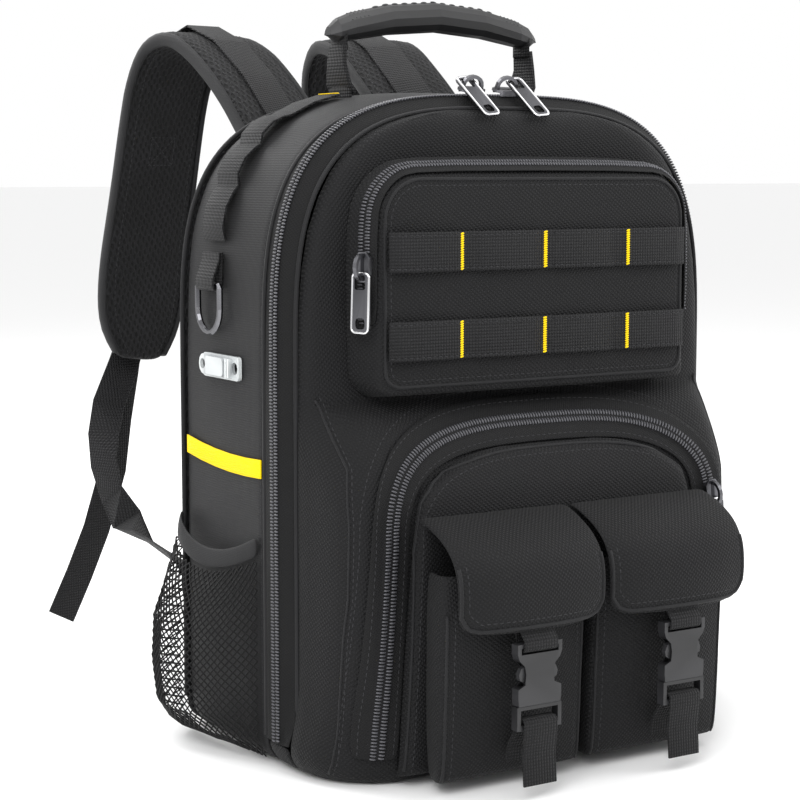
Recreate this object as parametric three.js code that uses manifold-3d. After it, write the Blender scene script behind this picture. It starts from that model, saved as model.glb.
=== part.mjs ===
// Tool backpack: a tall, stiff bag with a wrap-round zip, a webbing-faced upper pocket,
// an arched lower compartment with two flap pouches, side net pockets, a moulded top grip
// and two padded shoulder straps that stand off the back.
// Millimetres. X runs across the bag, Y from the front to the shoulder straps, Z up.
// Sizes are worked out round a point on the floor under the middle of the main zip.

import * as THREE from 'three';
import { mergeVertices } from 'three/addons/utils/BufferGeometryUtils.js';
import Module from 'manifold-3d';

const wasm = await Module();
wasm.setup();

// Cloth, seams and webbing
const PANEL_WALL = 3;
const CLOTH_WALL = 2;
const NET_WALL = 1.5;
const SEAM_GAP = 0.3;
const WEBBING_WIDTH = 25.4;
const WEBBING_THICKNESS = 1.6;

// Main body
const BAG_WIDTH = 345;
const BAG_HEIGHT = 441;
const SHOULDER_RISE = 176;
const SHOULDER_POWER = 3.3;
const SHOULDER_STEPS = 9;
const FOOT_RADIUS = 20;
const REAR_DEPTH = 118;
const TOP_CROWN = 7;
const BACK_PAD_DEPTH = 10;

// Zips
const TAPE_REACH = 16;
const TAPE_FRONT_REACH = 13.5;
const TAPE_FOLD = 7.5;
const TAPE_THICKNESS = 1.2;
const COIL_WIDTH = 10;
const COIL_RISE = 1.6;

// Front shell
const FACE_STAND_HIGH = 12.2;
const FACE_STAND_LOW = 56.2;
const FLARE_DROP = 2;
const FLARE_LENGTH = 64;
const FLARE_POWER = 1.6;
const FLARE_SIDE_POWER = 1.05;
const FACE_CORNER = 26;
const FOOT_CORNER = 70;
const INSET_SPAN = 3;

// Upper pocket
const POCKET_WIDTH = 270;
const POCKET_FOOT = 246;
const POCKET_HEIGHT = 156;
const POCKET_DEPTH = 24;
const POCKET_CORNER = 45;
const POCKET_FOOT_CORNER = 22;
const POCKET_BEVEL = 15;
const POCKET_ZIP_FOOT = 295;
const LOAD_ROW_HEIGHTS = [341, 284.5];
const LOAD_LOOP_COUNT = 4;
const LOAD_LOOP_RISE = 2.2;

// Lower compartment
const ARCH_WIDTH = 260;
const ARCH_SPLAY = 9;
const ARCH_HEIGHT = 229;
const ARCH_SHOULDER = 75;
const ARCH_POWER = 3;
const ARCH_FOOT = 20;
const ARCH_TAPE_WIDTH = 28;
const DOOR_GAP = 0.6;
const DOOR_RISE = 9.5;
const DOOR_FOOT = 7;
const DOOR_OVERLAP = 5;

// Pouches, flaps and their buckles
const POUCH_WIDTH = 102;
const POUCH_SPACING = 117;
const POUCH_FOOT = 7;
const POUCH_CORNER = 9;
const POUCH_HEIGHT = 138;
const POUCH_DEPTH = 23;
const POUCH_LEAN = 6;
const POUCH_CROWN = 9;
const POUCH_FLARE = 5;
const FLAP_WIDTH = 114;
const FLAP_TOP = 176;
const FLAP_REACH = 46;
const FLAP_DROP = 69;
const FLAP_CROWN = 9;
const FLAP_CORNER = 15;
const BUCKLE_WIDTH = 34;
const BUCKLE_THICKNESS = 7;
const BUCKLE_TOP = 100;
const BUCKLE_STAND = 50;
const SOCKET_LENGTH = 39.5;
const PLUG_FRAME_LENGTH = 15.5;
const PLUG_THICKNESS = 6.4;
const PRONG_THICKNESS = 3.4;
const PRONG_CLEARANCE = 0.35;
const BUCKLE_BAR = 2.6;
const WEB_SLOT = 4;

// Sides
const NET_FRONT = 21;
const NET_BACK = 131;
const NET_FOOT = 4;
const NET_TOP = 125;
const NET_SAG = 18;
const NET_BULGE = 36;
const NET_STAND = 0.8;
const RIM_HEIGHT = 13;
const RIM_THICKNESS = 2.6;
const BAND_HEIGHT = 12.5;
const BAND_TOP = 210;
const BAND_SLOPE = 5;
const BAND_SAG = 3;
const BAND_THICKNESS = 1.2;
const SIDE_WEB_Y = 86;
const SIDE_WEB_WIDTH = 30;
const SIDE_WEB_FOOT = 342;
const SIDE_LOOP_COUNT = 3;
const SIDE_LOOP_RISE = 4.2;
const RING_WIRE_RADIUS = 2.1;
const RING_INNER_WIDTH = 28;
const RING_LENGTH = 32;
const RING_BAR_HEIGHT = 316;
const TAB_TOP = 338;
const PORT_LENGTH = 60;
const PORT_HEIGHT = 16;
const PORT_Y = 71;
const PORT_Z = 262;
const PORT_PLATE = 2.4;
const PORT_CAP_RISE = 3;

// Top grip
const GRIP_Y = 80;
const GRIP_LENGTH = 172;
const GRIP_TOP = 510;
const GRIP_BOW = 15;
const GRIP_WIDTH = 24;
const GRIP_HEIGHT = 21;
const LEG_X = 78;
const LEG_THICKNESS = 3;
const LEG_FOOT_WIDTH = 32;
const LEG_TOP_WIDTH = 20;

// Zip sliders and pulls
const SLIDER_WIDTH = 11;
const SLIDER_LENGTH = 19;
const SLIDER_HEIGHT = 3.8;
const CROWN_SPAN = 17;
const CROWN_RISE = 9;
const CROWN_WIRE = 2.3;
const CROWN_THICKNESS = 2.6;
const PULL_LENGTH = 38;
const PULL_WIDTH = 13;
const PULL_THICKNESS = 2;
const PULL_BAR = 2.2;
const PULL_EYE_WIDTH = 8;
const PULL_EYE_LENGTH = 9;
const PULL_LIFT = 5.4;
const MAIN_SLIDER_X = [-22, 6];
const MAIN_SLIDER_TILT = 18;
const UPPER_SLIDER_RISE = 37;
const MAIN_PULL_DIP = 24;
const MAIN_PULL_SKEW = 10;

// Shoulder straps
const STRAP_X = 66;
const STRAP_WIDTH = 73;
const STRAP_THICKNESS = 12;
const STRAP_FOOT = 372;
const STRAP_RISE = 124;
const STRAP_REACH = 194;
const STRAP_SPLAY = 49;
const STRAP_YAW = 11;
const STRAP_WEB_WIDTH = 30;
const LOCK_WIDTH = 35;
const LOCK_LENGTH = 24;
const LOCK_THICKNESS = 4;
const LOCK_BAR = 4;
const LOCK_STAND = 2.4;
const TAIL_DROP = 256;
const TAIL_SWAY = 68;
const LINK_DROP = 184.5;
const LINK_FOOT = 62;

// Places that follow from the sizes above
const halfWidth = BAG_WIDTH / 2;
const shoulderHeight = BAG_HEIGHT - SHOULDER_RISE;
const rearSeam = TAPE_REACH + SEAM_GAP;
const backSeam = rearSeam + REAR_DEPTH;
const backFace = backSeam + SEAM_GAP + BACK_PAD_DEPTH;
const frontSeam = TAPE_FRONT_REACH + SEAM_GAP;
const faceHigh = frontSeam + FACE_STAND_HIGH;
const faceLow = frontSeam + FACE_STAND_LOW;
const flareTop = POCKET_FOOT - FLARE_DROP;
const flareFoot = flareTop - FLARE_LENGTH;
const doorFace = faceLow + DOOR_GAP + DOOR_RISE;

const tilt = THREE.MathUtils.degToRad(MAIN_SLIDER_TILT);

const vector = (x, y, z) => new THREE.Vector3(x, y, z);
const lerp = THREE.MathUtils.lerp;
const clamp = THREE.MathUtils.clamp;

// Colours and finishes
const finish = (color, roughness, metalness = 0) =>
  new THREE.MeshStandardMaterial({ color, roughness, metalness });
const FINISHES = {
  side: () => finish(0x2c2c2d, 0.85),
  front: () => finish(0x252526, 0.9),
  webbing: () => finish(0x1c1c1d, 0.8),
  zip: () => finish(0x1a1a1b, 0.6),
  net: () => finish(0x151515, 0.9),
  yellow: () => finish(0xf2d90c, 0.75),
  plastic: () => finish(0x1f1f20, 0.45),
  rubber: () => finish(0x202020, 0.6),
  metal: () => finish(0x3a3a3d, 0.25, 1),
  port: () => finish(0xbfc0c0, 0.3),
  pad: () => finish(0x161617, 0.95),
};

const pack = new THREE.Group();

function addPiece(name, geometry, material) {
  const mesh = new THREE.Mesh(geometry, FINISHES[material]());
  mesh.name = name;
  pack.add(mesh);
  return mesh;
}

// Solids from points

function solidFrom(points, triangles) {
  const geometry = new THREE.BufferGeometry();
  const position = new Float32Array(points.flatMap((point) => point.toArray()));
  geometry.setAttribute('position', new THREE.BufferAttribute(position, 3));
  let volume = 0;
  for (const [a, b, c] of triangles) {
    volume += points[a].dot(points[b].clone().cross(points[c]));
  }
  const outward = volume > 0 ? triangles : triangles.map(([a, b, c]) => [a, c, b]);
  geometry.setIndex(outward.flat());
  return geometry;
}

// A wall of cloth: rows of points on its outer face, and the same rows moved in by the wall.
// Columns cross rows so that (next column) x (next row) points out of the cloth. A wrapped
// wall closes on itself, a pole closes its last row, and flush says which edge points are
// sewn down: their inner point takes its Y from seat, or else keeps the outer one.
function clothSolid(rows, wall, { wrap = false, pole = null, flush = () => false, seat = null, lining = null } = {}) {
  const rowCount = rows.length;
  const columnCount = rows[0].length;
  const pick = (i, j) => {
    if (i >= rowCount && pole) return pole;
    const row = rows[clamp(i, 0, rowCount - 1)];
    return wrap ? row[(j + columnCount) % columnCount] : row[clamp(j, 0, columnCount - 1)];
  };
  const points = [];
  const inner = [];
  for (let i = 0; i < rowCount; i += 1) {
    for (let j = 0; j < columnCount; j += 1) {
      const along = pick(i, j + 1).clone().sub(pick(i, j - 1));
      const up = pick(i + 1, j).clone().sub(pick(i - 1, j));
      const back = lining ? lining[i][j]
        : rows[i][j].clone().addScaledVector(along.cross(up).normalize(), -wall);
      if (flush(i, j)) back.y = seat ? seat(back) : rows[i][j].y;
      points.push(rows[i][j]);
      inner.push(back);
    }
  }
  const offset = points.length;
  points.push(...inner);
  const outerPoint = (i, j) => i * columnCount + (j % columnCount);
  const innerPoint = (i, j) => outerPoint(i, j) + offset;
  const triangles = [];
  const quad = (a, b, c, d) => triangles.push([a, b, c], [a, c, d]);
  const lastRow = rowCount - 1;
  const lastColumn = wrap ? columnCount : columnCount - 1;
  for (let i = 0; i < lastRow; i += 1) {
    for (let j = 0; j < lastColumn; j += 1) {
      quad(outerPoint(i, j), outerPoint(i, j + 1), outerPoint(i + 1, j + 1), outerPoint(i + 1, j));
      quad(innerPoint(i, j), innerPoint(i + 1, j), innerPoint(i + 1, j + 1), innerPoint(i, j + 1));
    }
    if (!wrap) {
      quad(outerPoint(i, 0), outerPoint(i + 1, 0), innerPoint(i + 1, 0), innerPoint(i, 0));
      quad(outerPoint(i + 1, lastColumn), outerPoint(i, lastColumn),
        innerPoint(i, lastColumn), innerPoint(i + 1, lastColumn));
    }
  }
  if (pole) {
    const centre = points.push(pole) - 1;
    const before = rows[lastRow];
    const spoke = before[0].clone().sub(pole);
    const nextSpoke = before[1].clone().sub(pole);
    const outward = spoke.cross(nextSpoke).normalize();
    const under = points.push(pole.clone().addScaledVector(outward, -wall)) - 1;
    for (let j = 0; j < lastColumn; j += 1) {
      triangles.push([outerPoint(lastRow, j), outerPoint(lastRow, j + 1), centre]);
      triangles.push([innerPoint(lastRow, j + 1), innerPoint(lastRow, j), under]);
    }
  }
  for (let j = 0; j < lastColumn; j += 1) {
    quad(outerPoint(0, j + 1), outerPoint(0, j), innerPoint(0, j), innerPoint(0, j + 1));
    if (!pole) {
      quad(outerPoint(lastRow, j), outerPoint(lastRow, j + 1),
        innerPoint(lastRow, j + 1), innerPoint(lastRow, j));
    }
  }
  return solidFrom(points, triangles);
}

// A solid skinned over rings of points, with flat ends, or joined end to start.
function ringSolid(rings, closed = false) {
  const count = rings[0].length;
  const points = rings.flat();
  const triangles = [];
  const spans = closed ? rings.length : rings.length - 1;
  for (let i = 0; i < spans; i += 1) {
    const here = i * count;
    const next = ((i + 1) % rings.length) * count;
    for (let j = 0; j < count; j += 1) {
      const k = (j + 1) % count;
      triangles.push([here + j, here + k, next + k], [here + j, next + k, next + j]);
    }
  }
  if (!closed) {
    const last = (rings.length - 1) * count;
    const middle = (ring) => ring.reduce((sum, point) => sum.add(point), vector(0, 0, 0))
      .divideScalar(count);
    const start = points.push(middle(rings[0])) - 1;
    const end = points.push(middle(rings[rings.length - 1])) - 1;
    for (let j = 0; j < count; j += 1) {
      const k = (j + 1) % count;
      triangles.push([start, k, j], [end, last + j, last + k]);
    }
  }
  return solidFrom(points, triangles);
}

// A strip along stations that each hold a point, the way across and the way out of the face.
// A section lists its corners as [share across, height over the seat].
function stripSolid(stations, section, closed = false) {
  return ringSolid(stations.map(({ at, across, out }) => section.map(([a, n]) =>
    at.clone().addScaledVector(across, a).addScaledVector(out, n))), closed);
}

function flatSection(width, thickness, seat = 0) {
  const half = width / 2;
  return [[-half, seat], [half, seat], [half, seat + thickness], [-half, seat + thickness]];
}

function zipSection(width, seat = 0) {
  const half = width / 2;
  const coil = COIL_WIDTH / 2;
  const top = seat + TAPE_THICKNESS;
  return [
    [-half, seat], [half, seat], [half, top], [coil, top],
    [coil * 0.7, top + COIL_RISE], [-coil * 0.7, top + COIL_RISE], [-coil, top], [-half, top],
  ];
}

// The main zip's front tape folds in towards the front shell, fully where fold is 1.
function mainZipSection(fold) {
  const coil = COIL_WIDTH / 2;
  const drop = fold * TAPE_FOLD;
  return [
    [-TAPE_FRONT_REACH, -drop - TAPE_THICKNESS], [-coil, -TAPE_THICKNESS], [TAPE_REACH, -TAPE_THICKNESS],
    [TAPE_REACH, 0], [coil, 0], [coil * 0.7, COIL_RISE], [-coil * 0.7, COIL_RISE], [-coil, 0],
    [-TAPE_FRONT_REACH, -drop],
  ];
}

// Stations along a list of points, with the way out taken square to the path and to across.
function stationsAlong(points, acrossAt) {
  return points.map((at, i) => {
    const before = points[Math.max(i - 1, 0)];
    const after = points[Math.min(i + 1, points.length - 1)];
    const along = after.clone().sub(before).normalize();
    const across = acrossAt(i).clone();
    across.addScaledVector(along, -across.dot(along)).normalize();
    return { at, across, out: across.clone().cross(along) };
  });
}

// The same mesh with each corner held once.
function joinedVertices(geometry) {
  const bare = geometry.clone();
  bare.deleteAttribute('normal');
  bare.deleteAttribute('uv');
  return mergeVertices(bare, 1e-4);
}

function mirrored(geometry) {
  const copy = geometry.clone();
  const position = copy.getAttribute('position');
  for (let i = 0; i < position.count; i += 1) position.setX(i, -position.getX(i));
  const index = copy.getIndex();
  for (let i = 0; i < index.count; i += 3) {
    const second = index.getX(i + 1);
    index.setX(i + 1, index.getX(i + 2));
    index.setX(i + 2, second);
  }
  return copy;
}

function addPair(name, geometry, material) {
  addPiece(`${name}_left`, geometry, material);
  addPiece(`${name}_right`, mirrored(geometry), material);
}

// Boolean work on closed meshes

function toManifold(geometry) {
  const merged = joinedVertices(geometry);
  return new wasm.Manifold(new wasm.Mesh({
    numProp: 3,
    vertProperties: new Float32Array(merged.getAttribute('position').array),
    triVerts: new Uint32Array(merged.getIndex().array),
  }));
}

function fromManifold(solid) {
  const mesh = solid.getMesh();
  const geometry = new THREE.BufferGeometry();
  const position = new Float32Array(mesh.numVert * 3);
  for (let i = 0; i < mesh.numVert; i += 1) {
    for (let k = 0; k < 3; k += 1) {
      position[i * 3 + k] = mesh.vertProperties[i * mesh.numProp + k];
    }
  }
  geometry.setAttribute('position', new THREE.BufferAttribute(position, 3));
  geometry.setIndex(new THREE.BufferAttribute(new Uint32Array(mesh.triVerts), 1));
  return geometry;
}

// A plate cut from an outline in its own X and Y, centred on its own Z.
function plate(outline, thickness, holes = []) {
  const shape = new THREE.Shape(outline.map(([x, y]) => new THREE.Vector2(x, y)));
  for (const hole of holes) {
    shape.holes.push(new THREE.Path(hole.map(([x, y]) => new THREE.Vector2(x, y))));
  }
  const geometry = new THREE.ExtrudeGeometry(shape, { depth: thickness, bevelEnabled: false });
  geometry.translate(0, 0, -thickness / 2);
  return joinedVertices(geometry);
}

function rectangle(width, low, high) {
  return [[-width / 2, low], [width / 2, low], [width / 2, high], [-width / 2, high]];
}

function roundedOutline(width, low, high, radius, steps = 3, lowRadius = radius) {
  const half = width / 2;
  const corners = [
    [half, low, lowRadius, -90], [half, high, radius, 0],
    [-half, high, radius, 90], [-half, low, lowRadius, 180],
  ].map(([x, y, r, start]) => [x - Math.sign(x) * r, y + (y === low ? r : -r), start, r]);
  return corners.flatMap(([x, y, start, cornerRadius]) => Array.from({ length: steps + 1 }, (_, k) => {
    const angle = THREE.MathUtils.degToRad(start + (90 * k) / steps);
    return [x + cornerRadius * Math.cos(angle), y + cornerRadius * Math.sin(angle)];
  }));
}

// The body's outline, seen from the front

function bodyHalfWidth(height) {
  if (height < FOOT_RADIUS) {
    const below = FOOT_RADIUS - height;
    return halfWidth - FOOT_RADIUS + Math.sqrt(FOOT_RADIUS ** 2 - below ** 2);
  }
  const share = Math.max(0, (height - shoulderHeight) / SHOULDER_RISE);
  return halfWidth * (1 - share ** SHOULDER_POWER) ** (1 / SHOULDER_POWER);
}

// Girth runs up one side: 0 at the foot, 1 where the shoulder starts, 2 at the top.
function girthPoint(girth) {
  if (girth <= 1) return [halfWidth, lerp(FOOT_RADIUS, shoulderHeight, girth)];
  const angle = (girth - 1) * (Math.PI / 2);
  const power = 2 / SHOULDER_POWER;
  return [
    halfWidth * Math.max(0, Math.cos(angle)) ** power,
    shoulderHeight + SHOULDER_RISE * Math.sin(angle) ** power,
  ];
}

function girthAtHeight(height) {
  if (height <= shoulderHeight) {
    return (height - FOOT_RADIUS) / (shoulderHeight - FOOT_RADIUS);
  }
  const share = (height - shoulderHeight) / SHOULDER_RISE;
  return 1 + Math.asin(share ** (SHOULDER_POWER / 2)) / (Math.PI / 2);
}

function girthAtX(x) {
  return 1 + Math.acos((x / halfWidth) ** (SHOULDER_POWER / 2)) / (Math.PI / 2);
}

function crownAt(height, y) {
  const depthShare = clamp((y - rearSeam) / REAR_DEPTH, 0, 1);
  const rise = Math.max(0, (height - shoulderHeight) / SHOULDER_RISE);
  return TOP_CROWN * Math.sin(Math.PI * depthShare) * rise;
}

// A place on the body at this girth and depth: side is -1 on the left and 1 on the right.
function bodyStation(side, girth, y) {
  const step = 0.02;
  const [x, z] = girthPoint(girth);
  const [lowX, lowZ] = girthPoint(Math.max(girth - step, 0));
  const [highX, highZ] = girthPoint(Math.min(girth + step, 2));
  const out = vector(side * (highZ - lowZ), 0, lowX - highX).normalize();
  return { at: vector(side * x, y, z + crownAt(z, y)), across: vector(0, 1, 0), out };
}

function shoulderGirths() {
  return Array.from({ length: SHOULDER_STEPS + 1 }, (_, k) => 1 + k / SHOULDER_STEPS);
}

function footArc(side, fromAngle, toAngle, steps) {
  return Array.from({ length: steps + 1 }, (_, k) => {
    const angle = THREE.MathUtils.degToRad(lerp(fromAngle, toAngle, k / steps));
    return [
      side * (halfWidth - FOOT_RADIUS + FOOT_RADIUS * Math.cos(angle)),
      FOOT_RADIUS + FOOT_RADIUS * Math.sin(angle),
    ];
  });
}

function bodyOutline() {
  const right = [
    ...footArc(1, -90, 0, 3),
    girthPoint(0.5),
    ...shoulderGirths().map(girthPoint),
  ];
  const left = right.slice(0, -1).reverse().map(([x, z]) => [-x, z]);
  return [...right, ...left];
}

function insetOutline(outline, inset) {
  return outline.map(([x, z], i) => {
    const [beforeX, beforeZ] = outline[(i + outline.length - 1) % outline.length];
    const [afterX, afterZ] = outline[(i + 1) % outline.length];
    const out = new THREE.Vector2(afterZ - beforeZ, beforeX - afterX).normalize();
    return [x - out.x * inset, z - out.y * inset];
  });
}

// Rear body, back panel and main zip

function buildRearGusset() {
  const sections = [
    { depth: 1, inset: 4 }, { depth: 0.94, inset: 0.8 }, { depth: 0.62, inset: 0 },
    { depth: 0.3, inset: 0 }, { depth: 0, inset: 0 },
  ];
  const outline = bodyOutline();
  const rows = sections.map(({ depth, inset }) => {
    const y = rearSeam + depth * REAR_DEPTH;
    return insetOutline(outline, inset).map(([x, z]) => vector(x, y, Math.max(z, 0) + crownAt(z, y)));
  });
  const lastRow = sections.length - 1;
  return clothSolid(rows, PANEL_WALL, { wrap: true, flush: (i) => i === 0 || i === lastRow });
}

function buildBackPanel() {
  const sections = [
    { depth: 0, inset: 3 }, { depth: 0.3, inset: 1 }, { depth: 0.75, inset: 4 },
    { depth: 1, inset: 16 },
  ];
  const outline = bodyOutline();
  const rings = sections.map(({ depth, inset }) => insetOutline(outline, inset)
    .map(([x, z]) => vector(x, backSeam + SEAM_GAP + depth * BACK_PAD_DEPTH, z)));
  return ringSolid(rings);
}

function foldAt(height) {
  return clamp((height - FOOT_RADIUS) / FOOT_RADIUS, 0, 1);
}

function buildMainZip() {
  const girths = [0, girthAtHeight(2 * FOOT_RADIUS), 0.5, ...shoulderGirths()];
  const left = girths.map((girth) => bodyStation(-1, girth, 0));
  const right = girths.slice(0, -1).reverse().map((girth) => bodyStation(1, girth, 0));
  return ringSolid([...left, ...right].map(({ at, across, out }) => mainZipSection(foldAt(at.z))
    .map(([a, n]) => at.clone().addScaledVector(across, a).addScaledVector(out, n))));
}

function buildBaseStrip() {
  const stations = [...footArc(-1, -2, -90, 4), ...footArc(1, -90, -2, 4)].map(([x, z]) => {
    const centreX = Math.sign(x) * (halfWidth - FOOT_RADIUS);
    const out = vector(x - centreX, 0, z - FOOT_RADIUS).normalize();
    return { at: vector(x, (TAPE_REACH - TAPE_FRONT_REACH) / 2, z), across: vector(0, 1, 0), out };
  });
  return stripSolid(stations, flatSection(TAPE_REACH + TAPE_FRONT_REACH, PANEL_WALL, -PANEL_WALL));
}

// Front shell, with the doorway of the lower compartment cut through it

function faceDepth(height, power = FLARE_POWER) {
  const share = clamp((height - flareFoot) / FLARE_LENGTH, 0, 1);
  const bulge = (1 - share ** power) ** (1 / power);
  return lerp(faceHigh, faceLow, bulge);
}

// Half the shell's width at its back edge, which follows the folded tape.
function shellHalfWidth(height) {
  const fold = TAPE_FOLD * foldAt(height);
  const rise = SHOULDER_RISE - fold;
  const share = clamp((height - shoulderHeight) / rise, 0, 1);
  const side = height < 2 * FOOT_RADIUS ? bodyHalfWidth(height) : halfWidth;
  return (side - fold) * (1 - share ** SHOULDER_POWER) ** (1 / SHOULDER_POWER);
}

// How far a column has come forward: its corner is round, and wider towards the foot.
function cornerEdge(distance, height) {
  const corner = lerp(FOOT_CORNER, FACE_CORNER, clamp(height / flareFoot * 2, 0, 1));
  const share = clamp(distance / corner, 0, 1);
  return Math.sqrt(1 - (1 - share) ** 2);
}

// Distance in front of the zip of the shell's face at this place.
function shellDepthAt(x, height) {
  const forward = cornerEdge(shellHalfWidth(height) - Math.abs(x), height);
  return lerp(frontSeam, faceDepth(height), forward);
}

const flareShares = [0, 0.2, 0.4, 0.58, 0.74, 0.87, 0.96, 1];
const flareHeights = flareShares.map((share) => flareFoot + share * FLARE_LENGTH);

function mirrorColumns(columns) {
  const left = columns.map((column) => ({ ...column, side: -1 }));
  const right = columns.slice(0, -1).reverse().map((column) => ({ ...column, side: 1 }));
  return [...left, ...right];
}

function sewnEdges(rowCount, columnCount) {
  return (i, j) => i === 0 || i === rowCount - 1 || j === 0 || j === columnCount - 1;
}

function buildFrontShell() {
  const footRows = [
    { height: 0, edge: 0 }, { height: 0, edge: 0.8 }, { height: 0.1, edge: 0.9 },
    { height: 0.45, edge: 0.98 }, { height: 1, edge: 1 }, { height: 2, edge: 1 }, { height: 4, edge: 1 },
  ].map(({ height, edge }) => ({ height: height * FOOT_RADIUS, edge }));
  const flareRows = flareHeights.map((height) => ({ height, edge: 1 }));
  const shellTop = BAG_HEIGHT - TAPE_FOLD;
  const topRows = [
    { share: 0.3, edge: 1 }, { share: 0.6, edge: 1 }, { share: 0.8, edge: 1 }, { share: 0.89, edge: 0.98 },
    { share: 0.945, edge: 0.86 }, { share: 0.98, edge: 0.55 }, { share: 0.997, edge: 0 },
  ].map(({ share, edge }) => ({ height: lerp(flareTop, shellTop, share), edge }));
  const rows = [...footRows, ...flareRows, ...topRows];
  const columns = mirrorColumns([
    { inset: 0, power: FLARE_SIDE_POWER }, { inset: 0.12, power: FLARE_SIDE_POWER },
    { inset: 0.3, power: lerp(FLARE_SIDE_POWER, FLARE_POWER, 0.15) },
    { inset: 0.58, power: lerp(FLARE_SIDE_POWER, FLARE_POWER, 0.5) }, { inset: 1, power: FLARE_POWER },
    { inset: 1.6, power: FLARE_POWER }, { inset: 2.5, power: FLARE_POWER }, { inset: null, power: FLARE_POWER },
  ]);
  const grid = rows.map(({ height, edge }) => columns.map(({ inset, power, side }) => {
    const half = shellHalfWidth(height);
    const distance = inset === null ? half : inset * Math.min(FACE_CORNER, half / INSET_SPAN);
    const forward = Math.min(edge, cornerEdge(distance, height));
    const depth = lerp(frontSeam, faceDepth(height, power), forward);
    return vector(side * Math.max(half - distance, 0), -depth, height);
  }));
  const shell = clothSolid(grid, PANEL_WALL, { flush: sewnEdges(rows.length, columns.length) });
  const inset = ARCH_TAPE_WIDTH / 2 + DOOR_OVERLAP;
  const doorway = plate(archOutline(inset, DOOR_FOOT + DOOR_OVERLAP), FACE_STAND_LOW);
  doorway.rotateX(Math.PI / 2);
  doorway.translate(0, -faceLow, 0);
  return fromManifold(toManifold(shell).subtract(toManifold(doorway)));
}

// Heights above the foot at which the shell, the arched zip and the door share a row
const legHeights = [2 * FOOT_RADIUS, 4 * FOOT_RADIUS];

// The arch of the lower compartment, drawn in by an inset from the zip's middle line

function archHalfWidth(height, inset) {
  const shoulder = ARCH_HEIGHT - ARCH_SHOULDER;
  const splay = ARCH_SPLAY * Math.max(0, 1 - height / shoulder);
  const share = clamp((height - shoulder) / (ARCH_SHOULDER - inset), 0, 1);
  return (ARCH_WIDTH / 2 - inset) * (1 - share ** ARCH_POWER) ** (1 / ARCH_POWER) + splay;
}

function archOutline(inset, foot) {
  const shoulder = ARCH_HEIGHT - ARCH_SHOULDER;
  const top = ARCH_HEIGHT - inset;
  const power = 2 / ARCH_POWER;
  const right = [foot, ...legHeights].map((height) => [archHalfWidth(height, inset), height]);
  for (let k = 0; k <= SHOULDER_STEPS; k += 1) {
    const angle = (k / SHOULDER_STEPS) * (Math.PI / 2);
    right.push([
      (ARCH_WIDTH / 2 - inset) * Math.max(0, Math.cos(angle)) ** power,
      shoulder + (top - shoulder) * Math.sin(angle) ** power,
    ]);
  }
  const left = right.slice(0, -1).reverse().map(([x, z]) => [-x, z]);
  return [...right, ...left];
}

function buildLowerZip() {
  const seat = SEAM_GAP * 3.5;
  const half = ARCH_TAPE_WIDTH / 2;
  const coil = COIL_WIDTH / 2;
  const middle = archOutline(0, ARCH_FOOT);
  const top = seat + TAPE_THICKNESS;
  const section = [
    ...[-1, -0.6, -0.2, 0.2, 0.6, 1].map((share) => [share * half, seat]),
    [half, top], [half * 0.6, top], [coil, top], [coil * 0.7, top + COIL_RISE],
    [-coil * 0.7, top + COIL_RISE], [-coil, top], [-half * 0.6, top], [-half, top],
  ];
  const rings = middle.map(([x, z], i) => {
    const [beforeX, beforeZ] = middle[Math.max(i - 1, 0)];
    const [afterX, afterZ] = middle[Math.min(i + 1, middle.length - 1)];
    const out = new THREE.Vector2(afterZ - beforeZ, beforeX - afterX).normalize();
    return section.map(([a, n]) => {
      const placeX = x + out.x * a;
      const height = z + out.y * a;
      return vector(placeX, -(shellDepthAt(placeX, height) + n), height);
    });
  });
  return ringSolid(rings);
}

function buildLowerDoor() {
  const inset = ARCH_TAPE_WIDTH / 2 + SEAM_GAP;
  const top = ARCH_HEIGHT - inset;
  const inFlare = flareHeights.filter((height) => height < top - FACE_CORNER * 0.4);
  const rows = [
    { height: DOOR_FOOT, edge: 0 }, { height: DOOR_FOOT + 1, edge: 0.7 },
    ...[DOOR_FOOT * 2, FOOT_RADIUS, ...legHeights].map((height) => ({ height, edge: 1 })),
    ...inFlare.map((height) => ({ height, edge: 1 })),
    { height: top - FACE_CORNER * 0.22, edge: 0.85 }, { height: top - FACE_CORNER * 0.08, edge: 0.5 },
    { height: top - 0.5, edge: 0 },
  ];
  const columns = mirrorColumns([
    { inset: 0, edge: 0 }, { inset: 0.06, edge: 0.5 }, { inset: 0.2, edge: 0.85 },
    { inset: 0.5, edge: 1 }, { inset: null, edge: 1 },
  ]);
  const grid = rows.map(({ height, edge }) => columns.map((column) => {
    const rise = DOOR_RISE * Math.min(edge, column.edge);
    const half = archHalfWidth(height, inset);
    const reach = column.inset === null ? 0 : half - column.inset * FACE_CORNER;
    return vector(column.side * reach, -(shellDepthAt(reach, height) + DOOR_GAP + rise), height);
  }));
  return clothSolid(grid, CLOTH_WALL, {
    flush: sewnEdges(rows.length, columns.length),
    seat: (point) => -(shellDepthAt(point.x, point.z) + DOOR_GAP),
  });
}

// Upper pocket: a boxed pocket whose sides lean in to a rounded front

const pocketRings = [
  { inset: 0, reach: 0 }, { inset: 0.27, reach: 0.3 }, { inset: 0.73, reach: 0.92 },
  { inset: 1, reach: 1 }, { inset: 2.8, reach: 1.08 },
];
const POCKET_FOOT_LEAN = 0.3;
const pocketBack = faceHigh + SEAM_GAP;

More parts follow.
